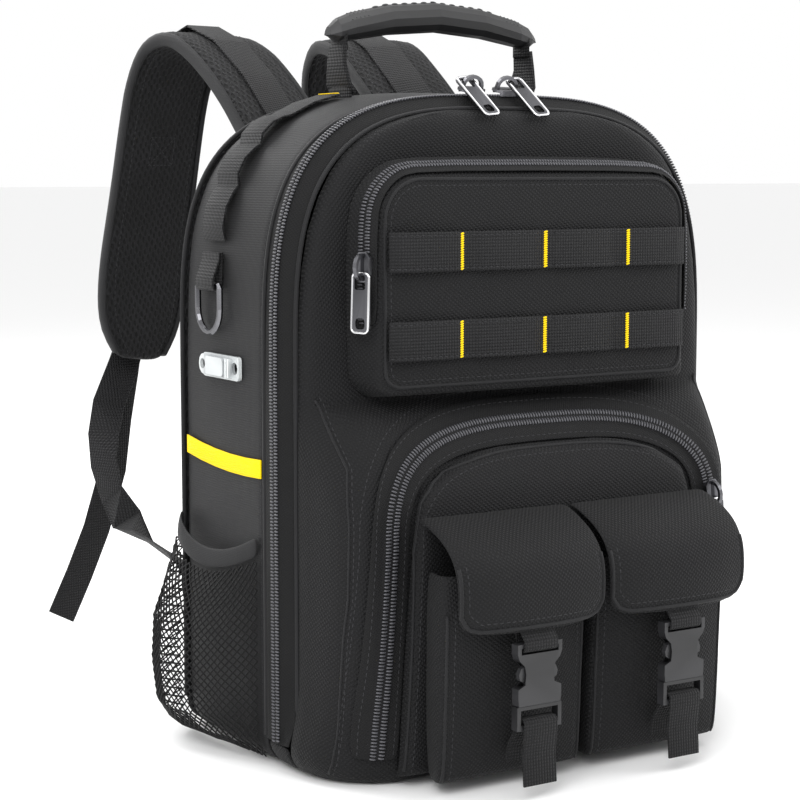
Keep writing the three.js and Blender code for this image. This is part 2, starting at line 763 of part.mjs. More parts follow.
function pocketRing({ inset, reach }) {
  const distance = inset * POCKET_BEVEL;
  const radiusAt = (corner) => Math.max(corner - distance * 1.33, corner * 0.2);
  const outline = roundedOutline(
    POCKET_WIDTH - 2 * distance,
    POCKET_FOOT + distance * POCKET_FOOT_LEAN,
    POCKET_FOOT + POCKET_HEIGHT - distance,
    radiusAt(POCKET_CORNER),
    4,
    radiusAt(POCKET_FOOT_CORNER),
  );
  return outline.map(([x, z]) => vector(x, -(pocketBack + reach * POCKET_DEPTH), z));
}

function buildUpperPocket() {
  const rows = pocketRings.map(pocketRing);
  const middle = POCKET_FOOT + POCKET_HEIGHT / 2;
  const pole = vector(0, -(pocketBack + POCKET_DEPTH * 1.1), middle);
  return clothSolid(rows, CLOTH_WALL, { wrap: true, pole, flush: (i) => i === 0 });
}

// The zip lies on the leaning side, between the second and third rings of the pocket.
function buildUpperZip() {
  const [, outer, inner] = pocketRings.map(pocketRing);
  const overTop = [];
  const cornerPoints = outer.length / 4;
  for (let j = cornerPoints; j < cornerPoints * 3; j += 1) overTop.push([outer[j], inner[j]]);
  const foot = (from, to) => {
    const share = (POCKET_ZIP_FOOT - from.z) / (to.z - from.z);
    return from.clone().lerp(to, share);
  };
  const right = [outer, inner].map((ring) => foot(ring[cornerPoints - 1], ring[cornerPoints]));
  const leftStart = cornerPoints * 3;
  const left = [outer, inner].map((ring) => foot(ring[leftStart - 1], ring[leftStart]));
  const pairs = [right, ...overTop, left];
  const stations = pairs.map(([low, high], i) => {
    const across = high.clone().sub(low);
    const width = across.length();
    across.normalize();
    const before = pairs[Math.max(i - 1, 0)][0];
    const after = pairs[Math.min(i + 1, pairs.length - 1)][0];
    const along = after.clone().sub(before).normalize();
    const out = along.clone().cross(across).normalize();
    return { at: low.clone().addScaledVector(across, width / 2), across, out, width };
  });
  const width = Math.min(...stations.map((station) => station.width));
  return { geometry: stripSolid(stations, zipSection(width, SEAM_GAP * 2)), stations };
}

function buildLoadRow(height) {
  const half = POCKET_WIDTH / 2 - POCKET_BEVEL - SEAM_GAP;
  const seat = pocketBack + POCKET_DEPTH * 1.1 + SEAM_GAP;
  const loop = [{ at: 0, lift: 0 }, { at: 0.14, lift: 0.75 }, { at: 0.5, lift: 1 }, { at: 0.86, lift: 0.75 }];
  const span = (2 * half) / LOAD_LOOP_COUNT;
  const stations = [];
  for (let k = 0; k < LOAD_LOOP_COUNT; k += 1) {
    for (const { at, lift } of loop) {
      stations.push([-half + span * (k + at), seat + lift * LOAD_LOOP_RISE]);
    }
  }
  stations.push([half, seat]);
  const strip = stations.map(([x, y]) => (
    { at: vector(x, -y, height), across: vector(0, 0, 1), out: vector(0, -1, 0) }));
  return stripSolid(strip, flatSection(WEBBING_WIDTH, WEBBING_THICKNESS));
}

// Pouches and flaps

function buildPouch() {
  const centreX = -POUCH_SPACING / 2;
  const rows = [
    { height: 0, reach: 0, crown: 0, corner: 0.4 }, { height: 0.002, reach: 0.45, crown: 0, corner: 0.37 },
    { height: 0.008, reach: 0.86, crown: 0.05, corner: 0.3 }, { height: 0.045, reach: 1, crown: 0.3, corner: 0.05 },
    { height: 0.3, reach: 1, crown: 0.8, corner: 0 }, { height: 0.65, reach: 1, crown: 1, corner: 0 },
    { height: 1, reach: 1, crown: 1, corner: 0 },
  ];
  const columns = mirrorColumns([
    { out: [0, 0, 0, 0], reach: 0, crown: 0 }, { out: [-0.5, 0.6, 0.6, 0.6], reach: 0.45, crown: 0 },
    { out: [-1, 0.2, 1, 1], reach: 0.85, crown: 0 }, { out: [-1.6, -0.6, 0.4, 0.4], reach: 1, crown: 0.08 },
    { out: [-3, -3, -3, -3], reach: 1, crown: 0.55 }, { out: [-6.5, -6.5, -6.5, -6.5], reach: 1, crown: 0.9 },
    { out: null, reach: 1, crown: 1 },
  ]);
  const gridInset = (inset) => rows.map((row, i) => columns.map((column) => {
    const out = column.out ? column.out[Math.min(i, column.out.length - 1)] : 0;
    const flare = out * POUCH_FLARE - row.corner * POUCH_CORNER;
    const half = column.out ? POUCH_WIDTH / 2 + flare - inset : 0;
    const reach = Math.min(row.reach, column.reach);
    const depth = reach * (POUCH_DEPTH + POUCH_LEAN * Math.max(row.height, 0) - inset);
    const crown = POUCH_CROWN * Math.min(row.crown, column.crown);
    return vector(
      centreX + column.side * half,
      -(doorFace + SEAM_GAP + depth + crown),
      POUCH_FOOT + lerp(inset, POUCH_HEIGHT, row.height),
    );
  }));
  return clothSolid(gridInset(0), CLOTH_WALL, { lining: gridInset(CLOTH_WALL) });
}

function buildFlap() {
  const centreX = -POUCH_SPACING / 2;
  const rows = [
    { forward: 0.96, drop: 1, crown: 1, corner: 1 },
    { forward: 0.965, drop: 0.95, crown: 1, corner: 0.35 },
    { forward: 0.98, drop: 0.87, crown: 1, corner: 0.06 },
    { forward: 1, drop: 0.75, crown: 1, corner: 0 },
    { forward: 1, drop: 0.58, crown: 1, corner: 0 },
    { forward: 0.95, drop: 0.39, crown: 1, corner: 0 },
    { forward: 0.77, drop: 0.225, crown: 0.8, corner: 0 },
    { forward: 0.46, drop: 0.1, crown: 0.5, corner: 0 },
    { forward: 0.15, drop: 0.02, crown: 0.15, corner: 0 },
    { forward: 0.004, drop: 0, crown: 0, corner: 0 },
  ];
  const columns = mirrorColumns([
    { inset: 0, crown: 0 }, { inset: 0.18, crown: 0.45 }, { inset: 0.5, crown: 0.85 },
    { inset: 1, crown: 1 },
  ]);
  const grid = rows.map((row) => columns.map((column) => {
    const half = FLAP_WIDTH / 2 - row.corner * FLAP_CORNER;
    const forward = row.forward * FLAP_REACH + row.crown * column.crown * FLAP_CROWN;
    return vector(
      centreX + column.side * half * (1 - column.inset),
      -(doorFace + SEAM_GAP + forward),
      FLAP_TOP - row.drop * FLAP_DROP,
    );
  }));
  const sewnRow = rows.length - 1;
  return clothSolid(grid, CLOTH_WALL, { flush: (i) => i === sewnRow });
}

// Buckles, drawn in their own X and Y with Y up, then stood up in front of a pouch

const buckleY = -(doorFace + BUCKLE_STAND);
const buckleX = -POUCH_SPACING / 2;

function standUp(geometry, x, y, z) {
  geometry.rotateX(Math.PI / 2);
  geometry.translate(x, y, z);
  return geometry;
}

function buildSocket() {
  const half = BUCKLE_WIDTH / 2;
  const right = [
    { x: 0.94, y: 0 }, { x: 0.97, y: 0.12 }, { x: 0.97, y: 0.28 }, { x: 0.66, y: 0.34 },
    { x: 0.62, y: 0.5 }, { x: 0.68, y: 0.64 }, { x: 0.92, y: 0.74 }, { x: 1, y: 0.84 }, { x: 1, y: 1 },
  ].map(({ x, y }) => [x * half, y * SOCKET_LENGTH]);
  const outline = [...right, ...right.slice().reverse().map(([x, y]) => [-x, y])];
  const slotTop = SOCKET_LENGTH - BUCKLE_BAR;
  const slot = rectangle(WEBBING_WIDTH + 3, slotTop - WEB_SLOT, slotTop);
  const body = toManifold(plate(outline, BUCKLE_THICKNESS, [slot]));
  const room = [
    { x: 0.62, y: -0.03 }, { x: 0.62, y: 0.31 }, { x: 1.1, y: 0.31 }, { x: 1.1, y: 0.69 },
    { x: 0.6, y: 0.72 },
  ].map(({ x, y }) => [x * half, y * SOCKET_LENGTH]);
  const cavity = plate(
    [...room, ...room.slice().reverse().map(([x, y]) => [-x, y])],
    PRONG_THICKNESS + 2 * PRONG_CLEARANCE,
  );
  const socket = fromManifold(body.subtract(toManifold(cavity)));
  return standUp(socket, buckleX, buckleY, BUCKLE_TOP - SOCKET_LENGTH);
}

function buildPlug() {
  const half = BUCKLE_WIDTH / 2;
  const windowWidth = WEBBING_WIDTH + 3;
  const window = rectangle(windowWidth, -PLUG_FRAME_LENGTH + BUCKLE_BAR * 1.3, -BUCKLE_BAR);
  const frame = plate(rectangle(2 * half, -PLUG_FRAME_LENGTH, -SEAM_GAP), PLUG_THICKNESS, [window]);
  const prong = [
    { x: 0.2, y: -0.03 }, { x: 0.56, y: -0.03 }, { x: 0.56, y: 0.34 }, { x: 0.84, y: 0.42 },
    { x: 0.88, y: 0.5 }, { x: 0.78, y: 0.6 }, { x: 0.52, y: 0.66 }, { x: 0.3, y: 0.62 },
  ].map(({ x, y }) => [x * half, y * SOCKET_LENGTH]);
  const left = prong.map(([x, y]) => [-x, y]).reverse();
  const plug = toManifold(frame)
    .add(toManifold(plate(prong, PRONG_THICKNESS)))
    .add(toManifold(plate(left, PRONG_THICKNESS)));
  return standUp(fromManifold(plug), buckleX, buckleY, BUCKLE_TOP - SOCKET_LENGTH);
}

// Webbing that lies in the Y and Z plane, from a short list of [forward, height].
function sideWeb(x, route, width) {
  const points = route.map(([forward, height]) => vector(x, -forward, height));
  const stations = stationsAlong(points, () => vector(1, 0, 0));
  return stripSolid(stations, flatSection(width, WEBBING_THICKNESS, -WEBBING_THICKNESS / 2));
}

function buildFlapWeb() {
  const clear = BUCKLE_THICKNESS / 2 + SEAM_GAP + WEBBING_THICKNESS / 2;
  const middle = -buckleY;
  const slotMiddle = BUCKLE_TOP - BUCKLE_BAR - WEB_SLOT / 2;
  return sideWeb(buckleX, [
    [middle - 3.5, BUCKLE_TOP + 26], [middle - 2, BUCKLE_TOP + 9],
    [middle + clear, BUCKLE_TOP + 1.5], [middle + clear, slotMiddle + 1.2],
    [middle + clear - 1.6, slotMiddle], [middle - clear + 1.6, slotMiddle],
    [middle - clear, slotMiddle + 1.2], [middle - clear - 0.4, BUCKLE_TOP + 3],
    [middle - clear - 0.8, BUCKLE_TOP + 14],
  ], WEBBING_WIDTH);
}

function buildPouchWeb() {
  const clear = PLUG_THICKNESS / 2 + SEAM_GAP + WEBBING_THICKNESS / 2;
  const middle = -buckleY;
  const frameFoot = BUCKLE_TOP - SOCKET_LENGTH - PLUG_FRAME_LENGTH;
  const windowMiddle = frameFoot + BUCKLE_BAR * 1.3 + WEB_SLOT * 0.8;
  const pouchFront = doorFace + SEAM_GAP + POUCH_DEPTH + POUCH_CROWN;
  const seat = pouchFront + SEAM_GAP + WEBBING_THICKNESS / 2 + POUCH_LEAN * 0.3;
  return sideWeb(buckleX, [
    [seat, POUCH_FOOT + 14], [seat + 1, POUCH_FOOT + 24], [middle - clear - 0.4, frameFoot + 1],
    [middle - clear - 0.2, windowMiddle - 1.4], [middle - clear + 1.4, windowMiddle],
    [middle + clear - 1.4, windowMiddle], [middle + clear + 0.2, windowMiddle - 1.4],
    [middle + clear + 0.4, frameFoot - 1],
    [middle + clear - 1.5, frameFoot - 16], [middle + clear, frameFoot - 36],
  ], WEBBING_WIDTH);
}

// Side net pocket and its elastic rim

const netColumns = [
  { along: 0, bulge: 0, sag: 0 }, { along: 0.05, bulge: 0.62, sag: 0.12 },
  { along: 0.15, bulge: 0.93, sag: 0.45 }, { along: 0.32, bulge: 1, sag: 0.85 },
  { along: 0.55, bulge: 0.8, sag: 1 }, { along: 0.78, bulge: 0.45, sag: 0.72 },
  { along: 0.93, bulge: 0.14, sag: 0.35 }, { along: 1, bulge: 0, sag: 0.17 },
];

function netPoint(column, upShare, bulge, lift = 0) {
  const top = NET_TOP + NET_SAG * (1 - column.sag);
  const height = lerp(NET_FOOT, top, upShare);
  const stand = NET_STAND + lift + NET_BULGE * column.bulge * bulge;
  const side = Math.max(bodyHalfWidth(height), halfWidth - FOOT_RADIUS * 0.3);
  return vector(-(side + stand), lerp(NET_BACK, NET_FRONT, column.along), height);
}

function buildNetPocket() {
  const rows = [
    { up: 0, bulge: 0 }, { up: 0.015, bulge: 0.3 }, { up: 0.08, bulge: 0.62 },
    { up: 0.2, bulge: 0.9 }, { up: 0.42, bulge: 1 }, { up: 0.65, bulge: 0.95 },
    { up: 0.85, bulge: 0.65 }, { up: 1, bulge: 0.36 },
  ];
  const grid = rows.map(({ up, bulge }) => netColumns.map((column) => netPoint(column, up, bulge, NET_WALL)));
  return clothSolid(grid, NET_WALL);
}

function buildNetRim() {
  const netHeight = NET_TOP - NET_FOOT;
  const low = 1 + SEAM_GAP / netHeight;
  const high = low + RIM_HEIGHT / netHeight;
  const rows = [{ up: low, bulge: 0.36 }, { up: high, bulge: 0.26 }];
  const grid = rows.map(({ up, bulge }) => netColumns
    .map((column) => netPoint(column, up, bulge, RIM_THICKNESS)));
  return clothSolid(grid, RIM_THICKNESS);
}

function buildSideBand() {
  const steps = 5;
  const start = rearSeam + 2;
  const end = backSeam - REAR_DEPTH * 0.07;
  const stations = Array.from({ length: steps + 1 }, (_, k) => {
    const share = k / steps;
    const sag = BAND_SAG * 4 * share * (1 - share);
    const height = BAND_TOP - BAND_HEIGHT / 2 - BAND_SLOPE * (1 - share) - sag;
    const at = vector(-(bodyHalfWidth(height) + SEAM_GAP), lerp(start, end, share), height);
    return { at, across: vector(0, 0, 1), out: vector(-1, 0, 0) };
  });
  return stripSolid(stations, flatSection(BAND_HEIGHT, BAND_THICKNESS));
}

// Side webbing with loops, and the ring that hangs below it

function buildSideWeb() {
  const start = girthAtHeight(SIDE_WEB_FOOT);
  const end = girthAtX(LEG_X + WEBBING_THICKNESS * 4);
  const loopEnd = lerp(start, end, 0.72);
  const loop = [{ at: 0, lift: 0 }, { at: 0.2, lift: 0.9 }, { at: 0.55, lift: 1 }, { at: 0.85, lift: 0.45 }];
  const lifts = [];
  for (let k = 0; k < SIDE_LOOP_COUNT; k += 1) {
    for (const { at, lift } of loop) {
      lifts.push([lerp(start, loopEnd, (k + at) / SIDE_LOOP_COUNT), lift]);
    }
  }
  lifts.push([loopEnd, 0], [lerp(loopEnd, end, 0.5), 0], [end, 0]);
  const stations = lifts.map(([girth, lift]) => {
    const y = lerp(SIDE_WEB_Y, GRIP_Y, clamp((girth - start) / (end - start), 0, 1));
    const station = bodyStation(-1, girth, y);
    station.at.addScaledVector(station.out, SEAM_GAP * 2 + lift * SIDE_LOOP_RISE);
    return station;
  });
  return stripSolid(stations, flatSection(SIDE_WEB_WIDTH, WEBBING_THICKNESS));
}

const ringLoopRadius = RING_WIRE_RADIUS + SEAM_GAP + WEBBING_THICKNESS / 2;
const tabInner = SEAM_GAP + WEBBING_THICKNESS / 2;
const ringStand = tabInner + ringLoopRadius;

function buildRingTab() {
  const side = bodyHalfWidth(RING_BAR_HEIGHT);
  const outer = tabInner + 2 * ringLoopRadius;
  const turn = [30, 60, 90, 120, 150].map((degrees) => {
    const angle = THREE.MathUtils.degToRad(degrees);
    return [
      ringStand - ringLoopRadius * Math.cos(angle),
      RING_BAR_HEIGHT - ringLoopRadius * Math.sin(angle),
    ];
  });
  const meet = tabInner + WEBBING_THICKNESS + SEAM_GAP;
  const route = [
    [tabInner, TAB_TOP], [tabInner, RING_BAR_HEIGHT], ...turn, [outer, RING_BAR_HEIGHT],
    [outer, RING_BAR_HEIGHT + 4], [lerp(outer, meet, 0.7), lerp(RING_BAR_HEIGHT, TAB_TOP, 0.6)],
    [meet, lerp(RING_BAR_HEIGHT, TAB_TOP, 0.8)], [meet, TAB_TOP],
  ];
  const points = route.map(([stand, height]) => (
    vector(-(side + stand), SIDE_WEB_Y, height)));
  const lean = bodyHalfWidth(RING_BAR_HEIGHT) - bodyHalfWidth(TAB_TOP);
  for (const point of points) {
    point.x += lean * clamp((point.z - RING_BAR_HEIGHT) / (TAB_TOP - RING_BAR_HEIGHT), 0, 1) * 0.5;
  }
  const stations = stationsAlong(points, () => vector(0, 1, 0));
  const section = flatSection(WEBBING_WIDTH, WEBBING_THICKNESS, -WEBBING_THICKNESS / 2);
  return stripSolid(stations, section);
}

function buildRing() {
  const half = RING_INNER_WIDTH / 2 + RING_WIRE_RADIUS;
  const bow = 10;
  const route = [[-half * 0.9, 0], [0, 0], [half * 0.9, 0], [half, -RING_WIRE_RADIUS]];
  for (let k = 0; k <= bow; k += 1) {
    const angle = (Math.PI * k) / bow;
    const along = half * Math.cos(angle);
    const straight = RING_LENGTH - half;
    route.push([along, -(straight + half * Math.sin(angle))]);
  }
  route.push([-half, -RING_WIRE_RADIUS]);
  const x = -(bodyHalfWidth(RING_BAR_HEIGHT) + ringStand);
  const points = route.map(([y, z]) => vector(x, SIDE_WEB_Y + y, RING_BAR_HEIGHT + z));
  const sides = 6;
  const rings = points.map((point, i) => {
    const before = points[(i + points.length - 1) % points.length];
    const after = points[(i + 1) % points.length];
    const along = after.clone().sub(before).normalize();
    const flat = vector(1, 0, 0);
    const square = along.clone().cross(flat).normalize();
    return Array.from({ length: sides }, (_, k) => {
      const angle = (2 * Math.PI * (k + 0.5)) / sides;
      return point.clone().addScaledVector(flat, RING_WIRE_RADIUS * Math.cos(angle))
        .addScaledVector(square, RING_WIRE_RADIUS * Math.sin(angle));
    });
  });
  return ringSolid(rings, true);
}

function buildPort() {
  const eye = PORT_HEIGHT * 0.26;
  const base = roundedOutline(PORT_LENGTH * 0.86, -PORT_HEIGHT / 2, PORT_HEIGHT / 2, 2.5, 2);
  const holeX = PORT_LENGTH * 0.33;
  const hole = roundedOutline(2 * eye, -eye, eye, eye * 0.9, 2).map(([x, y]) => [x + holeX, y]);
  const body = toManifold(plate(base, PORT_PLATE, [hole]));
  const ring = roundedOutline(3.4 * eye, -1.7 * eye, 1.7 * eye, 1.6 * eye, 3)
    .map(([x, y]) => [x - PORT_LENGTH * 0.42, y]);
  const ringHole = roundedOutline(1.8 * eye, -0.9 * eye, 0.9 * eye, 0.85 * eye, 2)
    .map(([x, y]) => [x - PORT_LENGTH * 0.45, y]);
  const lug = toManifold(plate(ring, PORT_PLATE));
  const cut = toManifold(plate(ringHole, PORT_PLATE * 3));
  const cap = plate(roundedOutline(PORT_LENGTH * 0.42, -6.2, 6.2, 2, 2), PORT_CAP_RISE);
  cap.translate(-PORT_LENGTH * 0.08, 0, PORT_PLATE / 2 + PORT_CAP_RISE / 2 - 0.01);
  const ribs = [0.2, 0.26].map((share) => {
    const rib = plate(rectangle(1.6, -6.4, 6.4), PORT_CAP_RISE);
    rib.translate(PORT_LENGTH * share, 0, PORT_PLATE / 2 + PORT_CAP_RISE / 2 - 0.01);
    return toManifold(rib);
  });
  let port = body.add(lug).subtract(cut).add(toManifold(cap));
  for (const rib of ribs) port = port.add(rib);
  const geometry = fromManifold(port);
  geometry.rotateX(Math.PI / 2);
  geometry.rotateZ(-Math.PI / 2);
  geometry.translate(-(halfWidth + SEAM_GAP + PORT_PLATE / 2), PORT_Y, PORT_Z);
  return geometry;
}

// Top grip on its two webbing legs

function gripCentre(x) {
  const share = (2 * x) / GRIP_LENGTH;
  return GRIP_TOP - GRIP_HEIGHT / 2 - GRIP_BOW * share * share;
}

function buildGrip() {
  const sections = [
    { along: -1, width: 0.42, rise: 0.28, belly: 0 }, { along: -0.93, width: 0.8, rise: 0.45, belly: 0.3 },
    { along: -0.8, width: 1, rise: 0.5, belly: 0.42 }, { along: -0.45, width: 1, rise: 0.5, belly: 0.5 },
    { along: 0, width: 1, rise: 0.5, belly: 0.5 }, { along: 0.45, width: 1, rise: 0.5, belly: 0.5 },
    { along: 0.8, width: 1, rise: 0.5, belly: 0.42 }, { along: 0.93, width: 0.8, rise: 0.45, belly: 0.3 },
    { along: 1, width: 0.42, rise: 0.28, belly: 0 },
  ];
  const sides = 12;
  const rings = sections.map(({ along, width, rise, belly }) => {
    const x = (along * GRIP_LENGTH) / 2;
    const middle = gripCentre(x);
    return Array.from({ length: sides }, (_, k) => {
      const angle = (2 * Math.PI * k) / sides;
      const up = Math.sin(angle);
      const height = GRIP_HEIGHT * (up > 0 ? rise : belly) * up;
      const pinch = up > 0 ? 1 - 0.25 * up : 1;
      return vector(x, GRIP_Y + (GRIP_WIDTH / 2) * width * Math.cos(angle) * pinch, middle + height);
    });
  });
  return ringSolid(rings);
}

function buildLeg() {
  const foot = bodyStation(-1, girthAtX(LEG_X), GRIP_Y);
  const top = gripCentre(LEG_X) - GRIP_HEIGHT * 0.42 - SEAM_GAP;
  const footHeight = foot.at.z + LEG_THICKNESS / 2 + SEAM_GAP;
  const route = [
    { share: 0, out: 0.05, pinch: 0 }, { share: 0.05, out: 0.35, pinch: 0.02 },
    { share: 0.2, out: 0.75, pinch: 0.15 }, { share: 0.6, out: 1, pinch: 0.8 },
    { share: 1, out: 0.8, pinch: 1 },
  ];
  const points = route.map(({ share, out }) => vector(
    -(LEG_X - 5 + 6 * out),
    GRIP_Y,
    lerp(footHeight, top, share),
  ));
  const rings = stationsAlong(points, () => vector(0, 1, 0)).map(({ at, across, out }, i) => {
    const width = lerp(LEG_FOOT_WIDTH, LEG_TOP_WIDTH, route[i].pinch);
    return flatSection(width, LEG_THICKNESS, -LEG_THICKNESS / 2)
      .map(([a, n]) => at.clone().addScaledVector(across, a).addScaledVector(out, n));
  });
  return ringSolid(rings);
}

// Zip slider: its own X runs along the zip, its own Z out of the tape

function crownOutline() {
  const half = CROWN_SPAN / 2;
  const steps = 8;
  const arc = (width, rise, low) => [
    [width, low],
    ...Array.from({ length: steps + 1 }, (_, k) => {
      const angle = (Math.PI * k) / steps;
      return [width * Math.cos(angle), CROWN_RISE * 0.2 + (rise - CROWN_RISE * 0.2) * Math.sin(angle)];
    }),
    [-width, low],
  ];
  return {
    outer: arc(half, CROWN_RISE, -0.5),
    hole: arc(half - CROWN_WIRE, CROWN_RISE - CROWN_WIRE, 0.2),
  };
}

function buildSlider() {
  const nose = SLIDER_LENGTH / 2;
  const half = SLIDER_WIDTH / 2;
  const outline = [
    [-nose, half * 0.5], [-nose, -half * 0.5], [-nose * 0.6, -half], [nose * 0.5, -half * 0.85],
    [nose, -half * 0.45], [nose, half * 0.45], [nose * 0.5, half * 0.85], [-nose * 0.6, half],
  ];
  const body = plate(outline, SLIDER_HEIGHT);
  body.translate(0, 0, SLIDER_HEIGHT / 2);
  const channelHalf = COIL_WIDTH / 2 + SEAM_GAP;
  const channelTop = COIL_RISE + SEAM_GAP;
  const channel = plate([
    [-channelHalf, -SLIDER_HEIGHT], [channelHalf, -SLIDER_HEIGHT], [channelHalf * 0.78, channelTop],
    [-channelHalf * 0.78, channelTop],
  ], SLIDER_LENGTH * 2);
  channel.rotateX(Math.PI / 2);
  channel.rotateZ(Math.PI / 2);
  const { outer, hole } = crownOutline();
  const crown = plate(outer, CROWN_THICKNESS, [hole]);
  crown.rotateX(Math.PI / 2);
  crown.translate(0, 0, SLIDER_HEIGHT);
  return fromManifold(toManifold(body).subtract(toManifold(channel)).add(toManifold(crown)));
}

// The pull hangs along its own -Y from the bar on its own X axis.
function buildPull(skewDegrees) {
  const outline = roundedOutline(PULL_WIDTH, -PULL_LENGTH, PULL_BAR / 2, 3.2, 2);
  const eye = roundedOutline(PULL_EYE_WIDTH, -PULL_BAR / 2 - PULL_EYE_LENGTH, -PULL_BAR / 2, 1, 1);
  const windowFoot = -PULL_LENGTH + 3;
  const window = roundedOutline(PULL_WIDTH - 6, windowFoot, windowFoot + 7, 2, 2);
  const pull = plate(outline, PULL_THICKNESS, [eye, window]);
  pull.rotateZ(THREE.MathUtils.degToRad(skewDegrees));
  return pull;
}

// A slider and its pull share one group whose X runs along the zip and whose Z leaves the tape.
function sliderSeat(name, at, along, out) {
  const seat = new THREE.Group();
  seat.position.copy(at);
  const side = out.clone().cross(along).normalize();
  seat.setRotationFromMatrix(new THREE.Matrix4().makeBasis(along, side, out));
  const slider = addPiece(`slider_${name}`, buildSlider(), 'metal');
  seat.add(slider);
  pack.add(seat);
  return seat;
}

// The main pulls hook round one leg of the crown and hang over the front.
function addMainSliders() {
  for (const [name, x, side] of [['main_left', MAIN_SLIDER_X[0], -1], ['main_right', MAIN_SLIDER_X[1], 1]]) {
    const at = vector(x, 0, BAG_HEIGHT + SEAM_GAP * 3 + SLIDER_WIDTH / 2 * Math.sin(tilt));
    const seat = sliderSeat(name, at, vector(1, 0, 0), vector(0, -Math.sin(tilt), Math.cos(tilt)));
    const pull = addPiece(`pull_${name}`, buildPull(MAIN_PULL_SKEW), 'metal');
    const leg = CROWN_SPAN / 2 - CROWN_WIRE / 2;
    const behind = (CROWN_THICKNESS + PULL_BAR) / 2 + SEAM_GAP * 4;
    pull.position.set(side * (leg - PULL_EYE_WIDTH * 0.12), behind, SLIDER_HEIGHT + PULL_LIFT);
    pull.rotation.x = THREE.MathUtils.degToRad(MAIN_PULL_DIP);
    seat.add(pull);
  }
}

// These pulls lie along their zip, with the bar passed under the crown.
function addFlatPull(seat, name) {
  const pull = addPiece(`pull_${name}`, buildPull(0), 'metal');
  pull.position.set(CROWN_SPAN / 2 - CROWN_WIRE - PULL_BAR, 0, SLIDER_HEIGHT + PULL_THICKNESS * 0.95);
  pull.rotation.z = Math.PI / 2;
  seat.add(pull);
}

function addUpperSlider(stations) {
  const last = stations[stations.length - 1];
  const before = stations[stations.length - 2];
  const along = last.at.clone().sub(before.at).normalize();
  const at = last.at.clone().addScaledVector(along, -UPPER_SLIDER_RISE)
    .addScaledVector(last.out, SEAM_GAP * 5 + TAPE_THICKNESS);
  addFlatPull(sliderSeat('upper', at, along, last.out), 'upper');
}

function addLowerSlider() {
  const height = ARCH_HEIGHT - ARCH_SHOULDER + ARCH_SHOULDER * 0.22;
  const step = ARCH_SHOULDER * 0.1;
  const place = (z) => vector(archHalfWidth(z, 0), -faceDepth(z), z);
  const along = place(height - step).sub(place(height + step)).normalize();
  const across = vector(along.z, 0, -along.x).normalize();
  const out = along.clone().cross(across).normalize();
  if (out.y > 0) out.negate();
  const at = place(height).addScaledVector(out, SEAM_GAP * 8 + TAPE_THICKNESS);
  addFlatPull(sliderSeat('lower', at, along, out), 'lower');
}

// Shoulder straps: routes are shares of how far a strap splays, reaches back and rises

const strapRoute = [
  { out: 0, back: 0, up: 0 }, { out: 0, back: 0.003, up: 0.17 }, { out: 0, back: 0.17, up: 0.42 },
  { out: 0, back: 0.37, up: 0.68 }, { out: 0.06, back: 0.58, up: 0.9 }, { out: 0.12, back: 0.76, up: 1 },
  { out: 0.2, back: 0.91, up: 0.93 }, { out: 0.32, back: 0.985, up: 0.72 },
  { out: 0.43, back: 1, up: 0.38 }, { out: 0.57, back: 1, up: 0.02 },
  { out: 0.71, back: 0.995, up: -0.29 }, { out: 0.86, back: 0.975, up: -0.62 },
  { out: 0.96, back: 0.955, up: -0.88 }, { out: 1, back: 0.94, up: -1.04 },
];
const strapWidths = [1, 1, 1, 1, 1, 1, 1, 1, 1, 1, 1.02, 1.05, 0.92, 0.55];
const strapBack = backFace + SEAM_GAP + STRAP_THICKNESS / 2;

function strapPoint({ out, back, up }) {
  return vector(-(STRAP_X + out * STRAP_SPLAY), strapBack + back * STRAP_REACH,
    STRAP_FOOT + up * STRAP_RISE);
}

function strapAcross() {
  const yaw = THREE.MathUtils.degToRad(STRAP_YAW);
  return vector(Math.cos(yaw), Math.sin(yaw), 0);
}

function strapStations() {
  const points = strapRoute.map(strapPoint);
  return stationsAlong(points, (i) => (i < 2 ? vector(1, 0, 0) : strapAcross()));
}

function buildStrapPad() {
  const rings = strapStations().map(({ at, across, out }, i) => {
    const half = (STRAP_WIDTH * strapWidths[i]) / 2;
    const web = Math.min(STRAP_WEB_WIDTH / 2, half * 0.8);
    const profile = [
      [-half * 0.92, 0.5], [-web, 0.5], [web, 0.5], [half * 0.92, 0.5], [half, 0.25],
      [half, -0.25], [half * 0.92, -0.5], [-half * 0.92, -0.5], [-half, -0.25], [-half, 0.25],
    ];
    return profile.map(([a, n]) => at.clone().addScaledVector(across, a)
      .addScaledVector(out, outerSide * n * STRAP_THICKNESS));
  });
  return ringSolid(rings);
}

// The wearer's side of a strap is where its way out points; its webbing lies on the other.
function buildStrapWeb() {
  const all = strapStations();
  const ending = 1 - (LOCK_LENGTH / 2 - LOCK_BAR) / all[lockRow].at.distanceTo(all[lockRow - 1].at);
  const last = all[lockRow - 1].at.clone().lerp(all[lockRow].at, ending);
  const stations = [...all.slice(2, lockRow), { ...all[lockRow], at: last }].map(({ at, across, out }) => ({
    at: at.clone().addScaledVector(out, outerSide * (STRAP_THICKNESS / 2 + SEAM_GAP * 1.5)),
    across,
    out: out.clone().multiplyScalar(outerSide),
  }));
  return stripSolid(stations, flatSection(STRAP_WEB_WIDTH, WEBBING_THICKNESS));
}

const lockRow = 11;

// +1 or -1: which way along a station's out leads away from the wearer.
const outerSide = Math.sign(strapStations()[9].out.y);

function lockStation() {
  const { at, across, out } = strapStations()[lockRow];
  const away = out.clone().multiplyScalar(outerSide);
  const stand = STRAP_THICKNESS / 2 + LOCK_STAND + LOCK_THICKNESS / 2;
  return { at: at.clone().addScaledVector(away, stand), across, away };
}

